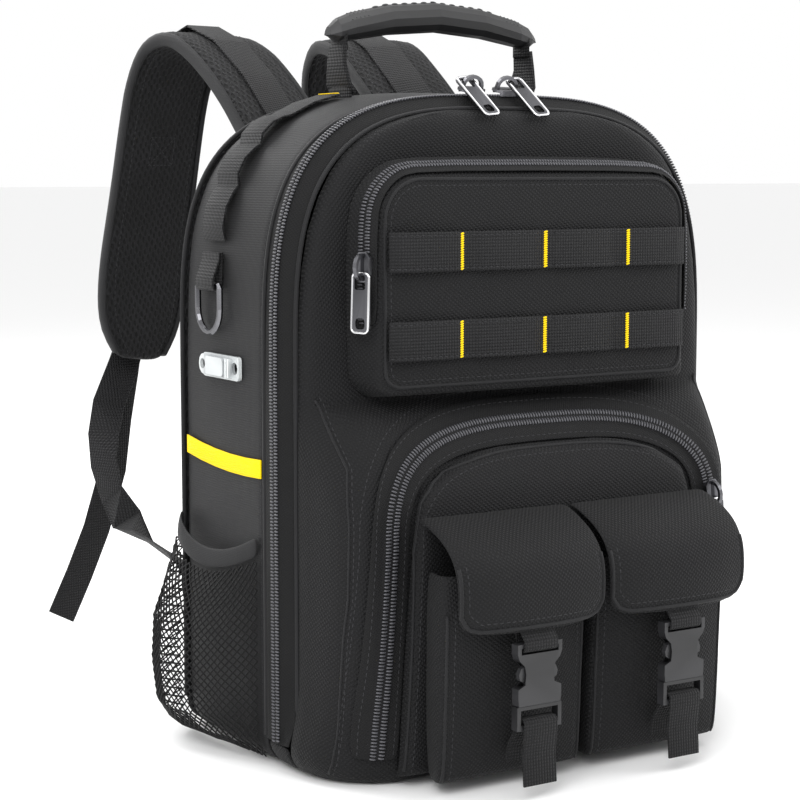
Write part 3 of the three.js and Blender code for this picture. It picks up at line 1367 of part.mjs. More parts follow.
function buildStrapLock() {
  const outline = roundedOutline(LOCK_WIDTH, -LOCK_LENGTH / 2, LOCK_LENGTH / 2, 3, 2);
  const inner = LOCK_LENGTH / 2 - LOCK_BAR;
  const slotWidth = WEBBING_WIDTH + 2.6;
  const slots = [rectangle(slotWidth, -inner, -LOCK_BAR / 2), rectangle(slotWidth, LOCK_BAR / 2, inner)];
  const geometry = plate(outline, LOCK_THICKNESS, slots);
  const { at, across, away } = lockStation();
  const up = away.clone().cross(across);
  geometry.applyMatrix4(new THREE.Matrix4().makeBasis(across, up, away).setPosition(at));
  return geometry;
}

// Webbing that rises from the foot of the back, turns over the lock's middle bar and hangs
function buildStrapTail() {
  const { at: lock, across, away } = lockStation();
  const foot = vector(-halfWidth * 0.87, backFace + SEAM_GAP + WEBBING_THICKNESS / 2, LINK_FOOT);
  const rising = [
    { out: 1, back: 0.006, up: -0.09 }, { out: 1.05, back: 0.1, up: -0.01 },
    { out: 1.05, back: 0.2, up: 0 }, { out: 0.96, back: 0.39, up: 0 },
    { out: 0.87, back: 0.57, up: 0.01 }, { out: 0.9, back: 0.71, up: 0.07 },
    { out: 0.98, back: 0.81, up: 0.165 }, { out: 1, back: 0.87, up: 0.29 },
    { out: 0.88, back: 0.92, up: 0.41 }, { out: 0.66, back: 0.965, up: 0.53 },
    { out: 0.28, back: 0.985, up: 0.69 }, { out: 0.1, back: 1, up: 0.78 },
  ].map(({ out, back, up }) => vector(
    lerp(lock.x, foot.x, out), lerp(foot.y, lock.y, back), lock.z - LINK_DROP + up * LINK_DROP));
  const up = across.clone().cross(away);
  const behind = -(LOCK_THICKNESS / 2 + SEAM_GAP + WEBBING_THICKNESS / 2);
  const turn = [
    [-LOCK_LENGTH * 0.5, behind], [0, behind], [LOCK_BAR * 0.7, behind * 0.85],
    [LOCK_BAR * 0.95, 0], [LOCK_BAR * 0.7, -behind * 0.85], [0, -behind], [-LOCK_LENGTH * 0.5, -behind],
  ].map(([rise, stand]) => lock.clone().addScaledVector(up, rise).addScaledVector(away, stand));
  const hanging = [
    { out: 0.05, back: 1.1, down: 0.16 }, { out: 0.1, back: 1.1, down: 0.245 },
    { out: 0.2, back: 1.2, down: 0.396 }, { out: 0.28, back: 1.1, down: 0.552 },
    { out: 0.51, back: 0.7, down: 0.736 }, { out: 0.745, back: 0.2, down: 0.871 },
    { out: 1, back: -0.5, down: 1 },
  ].map(({ out, back, down }) => vector(
    lock.x - out * TAIL_SWAY, lock.y - behind * back, lock.z - down * TAIL_DROP));
  const points = [foot, ...rising, ...turn, ...hanging];
  const quarterTurns = [0, 0, 0.2, 0.6, 0.75, 0.8, 0.85, 0.85, 0.8, 0.65, 0.45, 0.2, 0.08];
  const acrossAt = (i) => {
    const angle = (quarterTurns[i] ?? 0) * (Math.PI / 2);
    if (angle === 0) return i <= 1 ? vector(1, 0, 0) : across;
    return across.clone().multiplyScalar(Math.cos(angle))
      .add(vector(0, -Math.sin(angle), -0.4 * Math.sin(angle)));
  };
  const stations = stationsAlong(points, acrossAt);
  return stripSolid(stations, flatSection(WEBBING_WIDTH, WEBBING_THICKNESS, -WEBBING_THICKNESS / 2));
}

// Assembly

addPiece('rear_gusset', buildRearGusset(), 'side');
addPiece('back_panel', buildBackPanel(), 'pad');
addPiece('main_zip', buildMainZip(), 'zip');
addPiece('base_strip', buildBaseStrip(), 'front');
addPiece('front_shell', buildFrontShell(), 'front');
addPiece('lower_zip', buildLowerZip(), 'zip');
addPiece('lower_door', buildLowerDoor(), 'front');
addPiece('upper_pocket', buildUpperPocket(), 'front');
const upperZip = buildUpperZip();
addPiece('upper_zip', upperZip.geometry, 'zip');
addPiece('load_row_upper', buildLoadRow(LOAD_ROW_HEIGHTS[0]), 'webbing');
addPiece('load_row_lower', buildLoadRow(LOAD_ROW_HEIGHTS[1]), 'webbing');
addPair('pouch', buildPouch(), 'front');
addPair('flap', buildFlap(), 'front');
addPair('buckle_socket', buildSocket(), 'plastic');
addPair('buckle_plug', buildPlug(), 'plastic');
addPair('flap_web', buildFlapWeb(), 'webbing');
addPair('pouch_web', buildPouchWeb(), 'webbing');
addPair('net_pocket', buildNetPocket(), 'net');
addPair('net_rim', buildNetRim(), 'webbing');
addPair('side_band', buildSideBand(), 'yellow');
addPair('side_web', buildSideWeb(), 'webbing');
addPair('ring_tab', buildRingTab(), 'webbing');
addPair('ring', buildRing(), 'metal');
addPiece('charging_port', buildPort(), 'port');
addPiece('grip', buildGrip(), 'rubber');
addPair('grip_leg', buildLeg(), 'webbing');
addMainSliders();
addUpperSlider(upperZip.stations);
addLowerSlider();
addPair('strap_pad', buildStrapPad(), 'pad');
addPair('strap_web', buildStrapWeb(), 'webbing');
addPair('strap_lock', buildStrapLock(), 'plastic');
addPair('strap_tail', buildStrapTail(), 'webbing');

// The origin goes under the middle of the whole object, on the floor
pack.updateMatrixWorld(true);
const box = new THREE.Box3().setFromObject(pack);
const middle = box.getCenter(new THREE.Vector3());
pack.position.set(-middle.x, -middle.y, -box.min.z);

export default pack;
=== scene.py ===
"""Looks of the tool backpack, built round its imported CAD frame.

Lengths in the tables are millimetres in the bag's own axes: X across, Y from the front to the
straps with 0 on the main zip's middle line, Z up from the floor.
"""

import logging
import math
from dataclasses import dataclass
from enum import Enum
from typing import ClassVar

import bmesh
import bpy
import numpy as np
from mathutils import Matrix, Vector
from mathutils.bvhtree import BVHTree

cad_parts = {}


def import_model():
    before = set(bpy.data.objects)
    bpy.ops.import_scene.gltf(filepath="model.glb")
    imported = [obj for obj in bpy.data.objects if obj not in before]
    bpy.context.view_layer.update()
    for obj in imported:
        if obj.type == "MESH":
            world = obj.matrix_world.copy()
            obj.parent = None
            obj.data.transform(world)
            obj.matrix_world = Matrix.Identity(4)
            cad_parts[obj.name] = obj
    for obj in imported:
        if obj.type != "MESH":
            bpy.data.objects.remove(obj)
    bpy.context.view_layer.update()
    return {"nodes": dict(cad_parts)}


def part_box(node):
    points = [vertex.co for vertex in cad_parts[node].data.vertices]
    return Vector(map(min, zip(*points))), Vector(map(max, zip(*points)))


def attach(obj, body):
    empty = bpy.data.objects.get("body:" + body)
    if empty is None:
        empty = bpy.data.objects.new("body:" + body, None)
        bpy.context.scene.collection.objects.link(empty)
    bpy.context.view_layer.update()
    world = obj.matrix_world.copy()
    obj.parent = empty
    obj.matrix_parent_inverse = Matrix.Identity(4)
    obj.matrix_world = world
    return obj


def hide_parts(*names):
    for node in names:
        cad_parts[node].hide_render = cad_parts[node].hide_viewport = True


LOG = logging.getLogger("backpack")
MM = 0.001
# How far the main zip's cloth reaches in front of its middle line
ZIP_FRONT_REACH = 13.5
STITCH_PITCH = 4.4
TOOTH_PITCH = 2.2
SIDES = ("left", "right")
UV_NAME = "cloth"


def srgb(code: str) -> tuple[float, float, float, float]:
    """Turn a hex colour into linear RGBA.

    Args:
        code: Six hex digits, without a hash.

    Returns:
        The linear colour with full alpha.
    """
    shares = [int(code[i : i + 2], 16) / 255 for i in (0, 2, 4)]
    linear = [s / 12.92 if s <= 0.04045 else ((s + 0.055) / 1.055) ** 2.4 for s in shares]
    return (*linear, 1.0)


@dataclass(frozen=True)
class Axes:
    """Turns the bag's own millimetres into the frame's metres."""

    shift: float

    @classmethod
    def from_frame(cls) -> "Axes":
        """Find the main zip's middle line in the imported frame.

        Returns:
            The axes of this frame.
        """
        return cls(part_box("main_zip")[0][1] / MM + ZIP_FRONT_REACH)

    def at(self, x: float, y: float, z: float) -> Vector:
        """Place a point.

        Args:
            x: Across the bag.
            y: Back from the main zip.
            z: Up from the floor.

        Returns:
            The point in metres.
        """
        return Vector((x, y + self.shift, z)) * MM


class Weave(Enum):
    """The pattern of a cloth's surface."""

    PLAIN = "plain"
    TWILL = "twill"
    BEAD = "bead"
    OVAL = "oval"


class Shader:
    """A material's node tree, with one call to add a node."""

    def __init__(self, name: str) -> None:
        self.material = bpy.data.materials.new(name)
        self.material.use_nodes = True
        self.tree = self.material.node_tree
        self.surface = self.tree.nodes["Principled BSDF"]

    def add(self, kind: str, inputs: dict | None = None, **settings) -> bpy.types.Node:
        """Add a node.

        Args:
            kind: The node's type name.
            inputs: Socket name to a value, or to a socket to link from.
            **settings: Properties of the node.

        Returns:
            The new node.
        """
        made = self.tree.nodes.new(kind)
        for key, value in settings.items():
            setattr(made, key, value)
        self.feed(made, inputs or {})
        return made

    def feed(self, target: bpy.types.Node, inputs: dict) -> None:
        """Set or link a node's inputs.

        Args:
            target: The node to feed.
            inputs: Socket name to a value, or to a socket to link from.
        """
        for key, value in inputs.items():
            if isinstance(value, bpy.types.NodeSocket):
                self.tree.links.new(value, target.inputs[key])
            else:
                target.inputs[key].default_value = value


@dataclass(frozen=True)
class Cloth:
    """A woven or knitted cloth finish; cell is the pattern's repeat in millimetres, and the second colour is painted
    shade laid in the pattern's low parts.
    """

    name: str
    yarn: str
    valley_shade: str
    weave: Weave
    cell: float
    relief: float = 0.5
    roughness: float = 0.8
    sheen: float = 0.25

    def build(self) -> bpy.types.Material:
        """Make the material: a woven relief with painted shade in its low parts, uneven dye and a soft nap.

        Returns:
            The material.
        """
        shader = Shader(self.name)
        uv = shader.add("ShaderNodeUVMap", uv_map=UV_NAME).outputs["UV"]
        spin = math.radians({Weave.TWILL: 38, Weave.OVAL: 35}.get(self.weave, 0))
        stretch = {Weave.OVAL: (1.0, 0.55, 1.0)}.get(self.weave, (1.0, 1.0, 1.0))
        turned = shader.add("ShaderNodeMapping", {"Vector": uv, "Rotation": (0, 0, spin), "Scale": stretch})
        grid = turned.outputs["Vector"]
        if self.weave in (Weave.BEAD, Weave.OVAL):
            cells = shader.add("ShaderNodeTexVoronoi", {
                "Vector": grid, "Scale": 1 / (self.cell * MM),
                "Randomness": 0.0 if self.weave is Weave.BEAD else 0.12,
            }, voronoi_dimensions="2D")
            low, high = (0.55, 0.1) if self.weave is Weave.BEAD else (0.28, 0.42)
            height = shader.add("ShaderNodeMapRange", {
                "Value": cells.outputs["Distance"], "From Min": low, "From Max": high,
            }).outputs["Result"]
        else:
            scale = 0.3142 / (self.cell * MM)
            waves = [
                shader.add("ShaderNodeTexWave", {"Vector": grid, "Scale": scale, "Distortion": 0.4, "Detail": 1.0},
                           bands_direction=direction).outputs["Fac"]
                for direction in ("X", "Y")
            ]
            operation = "MAXIMUM" if self.weave is Weave.PLAIN else "MULTIPLY"
            height = shader.add("ShaderNodeMath", {0: waves[0], 1: waves[1]}, operation=operation).outputs[0]
        place = shader.add("ShaderNodeTexCoord").outputs["Object"]
        dye = shader.add("ShaderNodeTexNoise", {"Vector": place, "Scale": 26.0, "Detail": 5.0, "Roughness": 0.6})
        lint = shader.add("ShaderNodeTexNoise", {"Vector": place, "Scale": 900.0, "Detail": 2.0})
        # Painted shade: the weave's low parts take the darker colour, while the noise adds real uneven dye
        valley_shade_share = shader.add("ShaderNodeMapRange", {
            "Value": height, "To Min": 0.15, "To Max": 0.85,
        }).outputs["Result"]
        mixed = shader.add("ShaderNodeMath", {0: valley_shade_share, 1: dye.outputs["Fac"]}, operation="MULTIPLY")
        lifted = shader.add("ShaderNodeMath", {0: mixed.outputs[0], 1: 1.6}, operation="MULTIPLY", use_clamp=True)
        # Mix the yarn colour with the darker painted shade of the low parts
        colour = shader.add("ShaderNodeMix", {"Factor": lifted.outputs[0]}, data_type="RGBA")
        for socket, value in ((6, srgb(self.valley_shade)), (7, srgb(self.yarn))):
            colour.inputs[socket].default_value = value
        rough = shader.add("ShaderNodeMapRange", {
            "Value": dye.outputs["Fac"], "To Min": self.roughness - 0.1, "To Max": self.roughness + 0.1,
        })
        fuzz = shader.add("ShaderNodeMath", {0: lint.outputs["Fac"], 1: 0.35}, operation="MULTIPLY")
        relief = shader.add("ShaderNodeMath", {0: height, 1: fuzz.outputs[0]}, operation="ADD")
        bump = shader.add("ShaderNodeBump", {
            "Height": relief.outputs[0], "Strength": self.relief, "Distance": self.cell * MM * 0.35,
        })
        shader.feed(shader.surface, {
            "Base Color": colour.outputs[2], "Roughness": rough.outputs["Result"], "Normal": bump.outputs["Normal"],
            "Sheen Weight": self.sheen, "Sheen Roughness": 0.5, "Specular IOR Level": 0.22,
        })
        return shader.material


@dataclass(frozen=True)
class Moulded:
    """A moulded plastic, rubber or cast metal finish; grain is its texture's size in millimetres."""

    name: str
    colour: str
    worn: str
    roughness: float
    grain: float
    relief: float = 0.15
    metallic: float = 0.0
    coat: float = 0.0

    def build(self) -> bpy.types.Material:
        """Make the material: a fine moulded grain and slightly worn, lighter edges.

        Returns:
            The material.
        """
        shader = Shader(self.name)
        place = shader.add("ShaderNodeTexCoord").outputs["Object"]
        grain = shader.add("ShaderNodeTexNoise", {"Vector": place, "Scale": 1 / (self.grain * MM), "Detail": 3.0})
        smear = shader.add("ShaderNodeTexNoise", {"Vector": place, "Scale": 70.0, "Detail": 4.0})
        edge = shader.add("ShaderNodeNewGeometry").outputs["Pointiness"]
        wear = shader.add("ShaderNodeMapRange", {"Value": edge, "From Min": 0.52, "From Max": 0.62})
        colour = shader.add("ShaderNodeMix", {"Factor": wear.outputs["Result"]}, data_type="RGBA")
        for socket, value in ((6, srgb(self.colour)), (7, srgb(self.worn))):
            colour.inputs[socket].default_value = value
        rough = shader.add("ShaderNodeMapRange", {
            "Value": smear.outputs["Fac"], "To Min": self.roughness - 0.07, "To Max": self.roughness + 0.1,
        })
        bump = shader.add("ShaderNodeBump", {
            "Height": grain.outputs["Fac"], "Strength": self.relief, "Distance": self.grain * MM * 0.5,
        })
        shader.feed(shader.surface, {
            "Base Color": colour.outputs[2], "Roughness": rough.outputs["Result"], "Normal": bump.outputs["Normal"],
            "Metallic": self.metallic, "Coat Weight": self.coat, "Coat Roughness": 0.2,
        })
        return shader.material


# Each cloth's second colour is painted shade, laid in its weave's low parts
# Woven polyester oxford of the gusset: smooth, with a faint even grid
OXFORD = Cloth("oxford_side_cloth", "171719", "0b0b0c", Weave.PLAIN, 1.6, 0.35, 0.62, 0.04)
# Heavier woven polyester of the front and pouches: a matt, slanting grain
BASKET = Cloth("basket_front_cloth", "1a1a1c", "070708", Weave.TWILL, 2.2, 0.7, 0.7, 0.03)
# Woven webbing: rows of bead-like knots, with the gaps between them painted dark as shade
WEBBING = Cloth("beaded_webbing", "1f1f21", "050506", Weave.BEAD, 2.1, 0.9, 0.62, 0.04)
# Fine folded tape of the bound and piped edges: nearly smooth
BINDING = Cloth("binding_tape", "1c1c1e", "0f0f10", Weave.PLAIN, 1.1, 0.4, 0.6, 0.05)
# Close woven zip tape: the darkest cloth
TAPE = Cloth("zip_tape", "131314", "080809", Weave.TWILL, 1.4, 0.5, 0.7, 0.02)
# Knitted polyester net strands: plain and dull
NET = Cloth("open_net", "121213", "080809", Weave.PLAIN, 0.8, 0.3, 0.65, 0.02)
# Dyed yellow tape and thread: flat and bright
YELLOW = Cloth("yellow_trim", "ffe000", "e6bf00", Weave.BEAD, 1.5, 0.4, 0.65, 0.0)
# Knitted spacer mesh of the padding: rows of oval holes painted near black as shade
SPACER = Cloth("spacer_mesh", "1e1e20", "030303", Weave.OVAL, 3.6, 1.0, 0.75, 0.03)
# Twisted polyester thread: a shade lighter than the cloth
STITCH = Cloth("sewing_thread", "303032", "202022", Weave.PLAIN, 0.5, 0.2, 0.5, 0.02)
# Extruded nylon coil: dark, with a soft shine on each tooth
TEETH = Moulded("coil_teeth", "1b1b1d", "55555a", 0.34, 0.5, 0.1)
# Moulded acetal buckles: black with a satin shine
BLACK_PLASTIC = Moulded("acetal_buckle", "0b0b0c", "2a2a2c", 0.36, 0.4, 0.12)
# Moulded soft rubber of the grip: dull black
RUBBER = Moulded("matt_grip_rubber", "0f0f10", "262628", 0.5, 0.5, 0.2)
# Plated steel rings: dark, with sharp highlights
GUNMETAL = Moulded("gunmetal_ring", "2c2c2f", "8a8a8e", 0.22, 2.0, 0.03, 1.0)
# Polished zinc rims of the pulls: mirror bright
BRIGHT_METAL = Moulded("polished_pull_rim", "c9c9cc", "f0f0f0", 0.14, 2.0, 0.02, 1.0)
# Plated zinc sliders and pull panels: dark and satin
SATIN_METAL = Moulded("satin_pull_panel", "303033", "7a7a7e", 0.32, 0.4, 0.15, 1.0)
# Moulded grey plastic port with a clear gloss over it
PORT_GREY = Moulded("clear_grey_port", "9ca0a2", "d6dada", 0.22, 3.0, 0.03, 0.0, 0.6)


class Materials:
    """Builds each finish once."""

    def __init__(self) -> None:
        self.made: dict[str, bpy.types.Material] = {}

    def of(self, finish: Cloth | Moulded) -> bpy.types.Material:
        """Give a finish's material.

        Args:
            finish: The finish.

        Returns:
            Its one material.
        """
        if finish.name not in self.made:
            self.made[finish.name] = finish.build()
        return self.made[finish.name]


def add_object(name: str, mesh: bpy.types.Mesh) -> bpy.types.Object:
    """Link a mesh to the scene.

    Args:
        name: The new object's name.
        mesh: Its mesh, in metres.

    Returns:
        The new object.
    """
    made = bpy.data.objects.new(name, mesh)
    bpy.context.scene.collection.objects.link(made)
    return made


def box_uv(mesh: bpy.types.Mesh) -> None:
    """Lay the pattern on each face along its two flattest axes, in metres.

    Args:
        mesh: The mesh to unwrap.
    """
    layer = mesh.uv_layers.get(UV_NAME) or mesh.uv_layers.new(name=UV_NAME)
    points = np.empty(len(mesh.vertices) * 3)
    mesh.vertices.foreach_get("co", points)
    points = points.reshape(-1, 3)
    values = np.empty((len(mesh.loops), 2))
    for face in mesh.polygons:
        axis = max(range(3), key=lambda k: abs(face.normal[k]))
        keep = [k for k in range(3) if k != axis]
        loops = list(face.loop_indices)
        values[loops] = points[[mesh.loops[i].vertex_index for i in loops]][:, keep]
    layer.data.foreach_set("uv", values.ravel())


def sweep(name: str, points: list[Vector], outs: list[Vector], width: float, height: float,
          sides: int = 8, closed: bool = False) -> bpy.types.Object:
    """Sweep an oval along a line.

    Args:
        name: The new object's name.
        points: The line.
        outs: At each point, the direction that the oval's height lies along.
        width: The oval's width in metres.
        height: Its height in metres.
        sides: How many points the oval has.
        closed: Whether the line's end joins its start.

    Returns:
        The swept object.
    """
    count = len(points)
    vertices = []
    for i in range(count):
        after = points[(i + 1) % count] if closed or i + 1 < count else points[i]
        before = points[i - 1] if closed or i else points[i]
        along = (after - before).normalized()
        across = along.cross(outs[i]).normalized()
        up = across.cross(along).normalized()
        for k in range(sides):
            angle = 2 * math.pi * k / sides
            wide, tall = math.cos(angle) * width / 2, math.sin(angle) * height / 2
            vertices.append(points[i] + across * wide + up * tall)
    faces = []
    for i in range(count if closed else count - 1):
        for k in range(sides):
            a, b = i * sides + k, i * sides + (k + 1) % sides
            c, d = (a + sides) % (count * sides), (b + sides) % (count * sides)
            faces.append((a, c, d, b))
    if not closed:
        faces.append(tuple(range(sides)))
        faces.append(tuple(reversed(range((count - 1) * sides, count * sides))))
    mesh = bpy.data.meshes.new(name)
    mesh.from_pydata(vertices, [], faces)
    tidy = bmesh.new()
    tidy.from_mesh(mesh)
    bmesh.ops.recalc_face_normals(tidy, faces=tidy.faces)
    tidy.to_mesh(mesh)
    tidy.free()
    mesh.shade_smooth()
    box_uv(mesh)
    return add_object(name, mesh)


def headings(points: list[Vector]) -> list[Vector]:
    """Find which way a line runs at each of its points.

    Args:
        points: The line's points.

    Returns:
        One unit direction for each point.
    """
    last = len(points) - 1
    return [(points[min(i + 1, last)] - points[max(i - 1, 0)]).normalized() for i in range(last + 1)]


def rim_outs(line: list[Vector]) -> list[Vector]:
    """Find the outward direction along a line that runs round the bag's rim.

    Args:
        line: The line, from the left foot over the top to the right foot.

    Returns:
        One unit direction for each point.
    """
    return [along.cross(Vector((0, 1, 0))).normalized() for along in headings(line)]


def even(points: list[Vector], step: float) -> list[Vector]:
    """Space points evenly along a line.

    Args:
        points: The line's corners.
        step: The wanted spacing in metres.

    Returns:
        The evenly spaced points.
    """
    line = np.array([tuple(p) for p in points])
    run = np.concatenate([[0], np.cumsum(np.linalg.norm(np.diff(line, axis=0), axis=1))])
    count = max(2, round(run[-1] / step) + 1)
    places = np.linspace(0, run[-1], count)
    return [Vector([float(np.interp(p, run, line[:, k])) for k in range(3)]) for p in places]


class Surface:
    """Finds where a ray meets some finished pieces."""

    def __init__(self, objects: list[bpy.types.Object]) -> None:
        graph = bpy.context.evaluated_depsgraph_get()
        vertices: list[Vector] = []
        faces: list[tuple[int, ...]] = []
        for item in objects:
            shown = item.evaluated_get(graph).to_mesh()
            start = len(vertices)
            vertices.extend(v.co.copy() for v in shown.vertices)
            faces.extend(tuple(start + i for i in face.vertices) for face in shown.polygons)
            item.evaluated_get(graph).to_mesh_clear()
        self.tree = BVHTree.FromPolygons(vertices, faces)

    def drop(self, points: list[Vector], ways: list[Vector],
             back: float = 0.05) -> tuple[list[Vector], list[Vector]]:
        """Drop points onto the surface.

        Args:
            points: Where each ray passes.
            ways: Each ray's direction.
            back: How far before its point a ray starts.

        Returns:
            The places where the rays meet the surface, and the normals there.
        """
        places, normals = [], []
        for point, way in zip(points, ways):
            hit, normal, _, _ = self.tree.ray_cast(point - way * back, way, back * 3)
            if hit is None:
                continue
            places.append(hit)
            normals.append(normal if normal.dot(way) < 0 else -normal)
        return places, normals


class Repeater:
    """Copies one small form to many points with Geometry Nodes, then bakes it to a plain mesh."""

    def __init__(self) -> None:
        self.tree = bpy.data.node_groups.new("repeat_small_form", "GeometryNodeTree")
        face = self.tree.interface
        face.new_socket("Geometry", in_out="INPUT", socket_type="NodeSocketGeometry")
        self.size = face.new_socket("Form Size", in_out="INPUT", socket_type="NodeSocketVector").identifier
        self.finish = face.new_socket("Finish", in_out="INPUT", socket_type="NodeSocketMaterial").identifier
        face.new_socket("Geometry", in_out="OUTPUT", socket_type="NodeSocketGeometry")
        nodes, links = self.tree.nodes, self.tree.links
        source = nodes.new("NodeGroupInput")
        result = nodes.new("NodeGroupOutput")
        form = nodes.new("GeometryNodeMeshIcoSphere")
        form.inputs["Radius"].default_value = 0.5
        form.inputs["Subdivisions"].default_value = 2
        smooth = nodes.new("GeometryNodeSetShadeSmooth")
        links.new(form.outputs["Mesh"], smooth.inputs["Geometry"])
        turns = []
        for attribute, axis in (("out", "Z"), ("along", "X")):
            named = nodes.new("GeometryNodeInputNamedAttribute")
            named.data_type = "FLOAT_VECTOR"
            named.inputs["Name"].default_value = attribute
            turn = nodes.new("FunctionNodeAlignEulerToVector")
            turn.axis = axis
            links.new(named.outputs["Attribute"], turn.inputs["Vector"])
            if turns:
                turn.pivot_axis = "Z"
                links.new(turns[-1].outputs["Rotation"], turn.inputs["Rotation"])
            turns.append(turn)
        copies = nodes.new("GeometryNodeInstanceOnPoints")
        links.new(source.outputs["Geometry"], copies.inputs["Points"])
        links.new(smooth.outputs["Geometry"], copies.inputs["Instance"])
        links.new(turns[-1].outputs["Rotation"], copies.inputs["Rotation"])
        links.new(source.outputs["Form Size"], copies.inputs["Scale"])
        real = nodes.new("GeometryNodeRealizeInstances")
        links.new(copies.outputs["Instances"], real.inputs["Geometry"])
        painted = nodes.new("GeometryNodeSetMaterial")
        links.new(real.outputs["Geometry"], painted.inputs["Geometry"])
        links.new(source.outputs["Finish"], painted.inputs["Material"])
        links.new(painted.outputs["Geometry"], result.inputs["Geometry"])

    def build(self, name: str, points: list[Vector], alongs: list[Vector], outs: list[Vector],
              size: tuple[float, float, float], finish: bpy.types.Material) -> bpy.types.Object:
        """Copy the form.

        Args:
            name: The new object's name.
            points: Where the forms lie.
            alongs: Each form's length direction.
            outs: Each form's outward direction.
            size: The form's length, width and height in millimetres.
            finish: Its material.

        Returns:
            The baked object.
        """
        mesh = bpy.data.meshes.new(name)
        mesh.from_pydata(points, [], [])
        for label, vectors in (("along", alongs), ("out", outs)):
            layer = mesh.attributes.new(label, "FLOAT_VECTOR", "POINT")
            layer.data.foreach_set("vector", [c for v in vectors for c in v])
        made = add_object(name, mesh)
        modifier = made.modifiers.new("repeat", "NODES")
        modifier.node_group = self.tree
        modifier[self.size] = [s * MM for s in size]
        modifier[self.finish] = finish
        graph = bpy.context.evaluated_depsgraph_get()
        baked = bpy.data.meshes.new_from_object(made.evaluated_get(graph))
        made.modifiers.clear()
        made.data = baked
        if UV_NAME not in baked.uv_layers:
            box_uv(baked)
        return made


@dataclass
class Workshop:
    """What every builder of pieces shares."""

    # The shells whose cut edges stay firm, so that they meet at the main zip
    FIRM: ClassVar[tuple[str, ...]] = ("front_shell", "main_zip", "rear_gusset", "back_panel", "upper_pocket")

    axes: Axes
    materials: Materials
    repeater: Repeater
    nodes: dict[str, bpy.types.Object]

    def finish(self, piece: bpy.types.Object, finish: Cloth | Moulded, slot: str, body: str = "bag") -> None:
        """Paint a piece and let it ride on its body.

        Args:
            piece: The piece.
            finish: Its finish.
            slot: Not used.
            body: The CAD body that carries it.
        """
        piece.data.materials.clear()
        piece.data.materials.append(self.materials.of(finish))
        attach(piece, body)
        LOG.info("made %s", piece.name)

    def soften(self, node: str, finish: Cloth, slot: str, levels: int = 2,
               puff: float = 0.0) -> bpy.types.Object:
        """Make the sewn piece that stands for a CAD node.

        Args:
            node: The CAD node.
            finish: The piece's cloth.
            slot: The slot name, passed on to finish.
            levels: How often its faces are split and rounded.
            puff: How deep its surface ripples, in millimetres.

        Returns:
            The sewn piece.
        """
        work = bmesh.new()
        work.from_mesh(self.nodes[node].data)
        bmesh.ops.remove_doubles(work, verts=work.verts, dist=0.01 * MM)
        bmesh.ops.join_triangles(work, faces=work.faces, angle_face_threshold=0.7, angle_shape_threshold=1.2)
        bmesh.ops.recalc_face_normals(work, faces=work.faces)
        if node in self.FIRM:
            crease = work.edges.layers.float.new("crease_edge")
            for edge in work.edges:
                if len(edge.link_faces) == 2 and edge.calc_face_angle(0) > math.radians(42):
                    edge[crease] = 0.85
        mesh = bpy.data.meshes.new(f"{node}_cloth")
        work.to_mesh(mesh)
        work.free()
        piece = add_object(f"{node}_cloth", mesh)
        if levels:
            split = piece.modifiers.new("round", "SUBSURF")
            split.levels = split.render_levels = levels
        else:
            edge = piece.modifiers.new("edge", "BEVEL")
            edge.width = 0.45 * MM
            edge.segments = 2
            edge.limit_method = "ANGLE"
            edge.angle_limit = math.radians(50)
        if puff:
            texture = bpy.data.textures.new(f"{node}_ripple", "CLOUDS")
            texture.noise_scale = 0.055
            ripple = piece.modifiers.new("ripple", "DISPLACE")
            ripple.texture = texture
            ripple.texture_coords = "LOCAL"
            ripple.strength = puff * MM
            ripple.mid_level = 0.5
        graph = bpy.context.evaluated_depsgraph_get()
        baked = bpy.data.meshes.new_from_object(piece.evaluated_get(graph))
        piece.modifiers.clear()
        piece.data = baked
        baked.shade_smooth()
        if not levels:
            baked.set_sharp_from_angle(angle=math.radians(48))
        box_uv(baked)
        self.finish(piece, finish, slot)
        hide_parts(node)
        return piece

    def stitches(self, name: str, points: list[Vector], outs: list[Vector], length: float = 3.0) -> None:
        """Lay a row of stitches.

        Args:
            name: The row's name.
            points: Evenly spaced places, one for each stitch.
            outs: The surface's direction at each.
            length: A stitch's length in millimetres.
        """
        if len(points) < 3:
            return
        thread = self.materials.of(STITCH)
        row = self.repeater.build(name, points, headings(points), outs, (length, 0.7, 0.5), thread)
        self.finish(row, STITCH, "webbing")

    def teeth(self, name: str, points: list[Vector], outs: list[Vector]) -> None:
        """Lay the two rows of coil teeth along a zip.

        Args:
            name: The zip's name.
            points: Evenly spaced places along the zip's middle line.
            outs: The surface's direction at each.
        """
        places, alongs, normals = [], [], []
        for point, out, along in zip(points, outs, headings(points)):
            across = along.cross(out).normalized()
            for side in (-1, 1):
                places.append(point + across * (side * 2.7 * MM) + along * (side * 0.5 * MM))
                alongs.append(along)
                normals.append(out)
        row = self.repeater.build(name, places, alongs, normals, (1.5, 4.4, 2.0), self.materials.of(TEETH))
        self.finish(row, TEETH, "zip")


def body_line(inset: float, steps: int = 28) -> list[tuple[float, float]]:
    """Trace the bag's outline from the left foot over the top to the right foot.

    Args:
        inset: How far inside the main zip's line it runs, in millimetres.
        steps: How many points each shoulder has.

    Returns:
        Pairs of X and Z in millimetres.
    """
    half, top, low, power = 172.5 - inset, 441 - inset, 265.0, 3.3
    right = []
    for k in range(steps + 1):
        angle = math.pi / 2 * k / steps
        right.append((half * max(math.cos(angle), 0) ** (2 / power),
                      low + (top - low) * math.sin(angle) ** (2 / power)))
    straight = [(half, z) for z in range(22, 265, 27)]
    right = straight + right
    return [(-x, z) for x, z in right] + [(x, z) for x, z in reversed(right[:-1])]


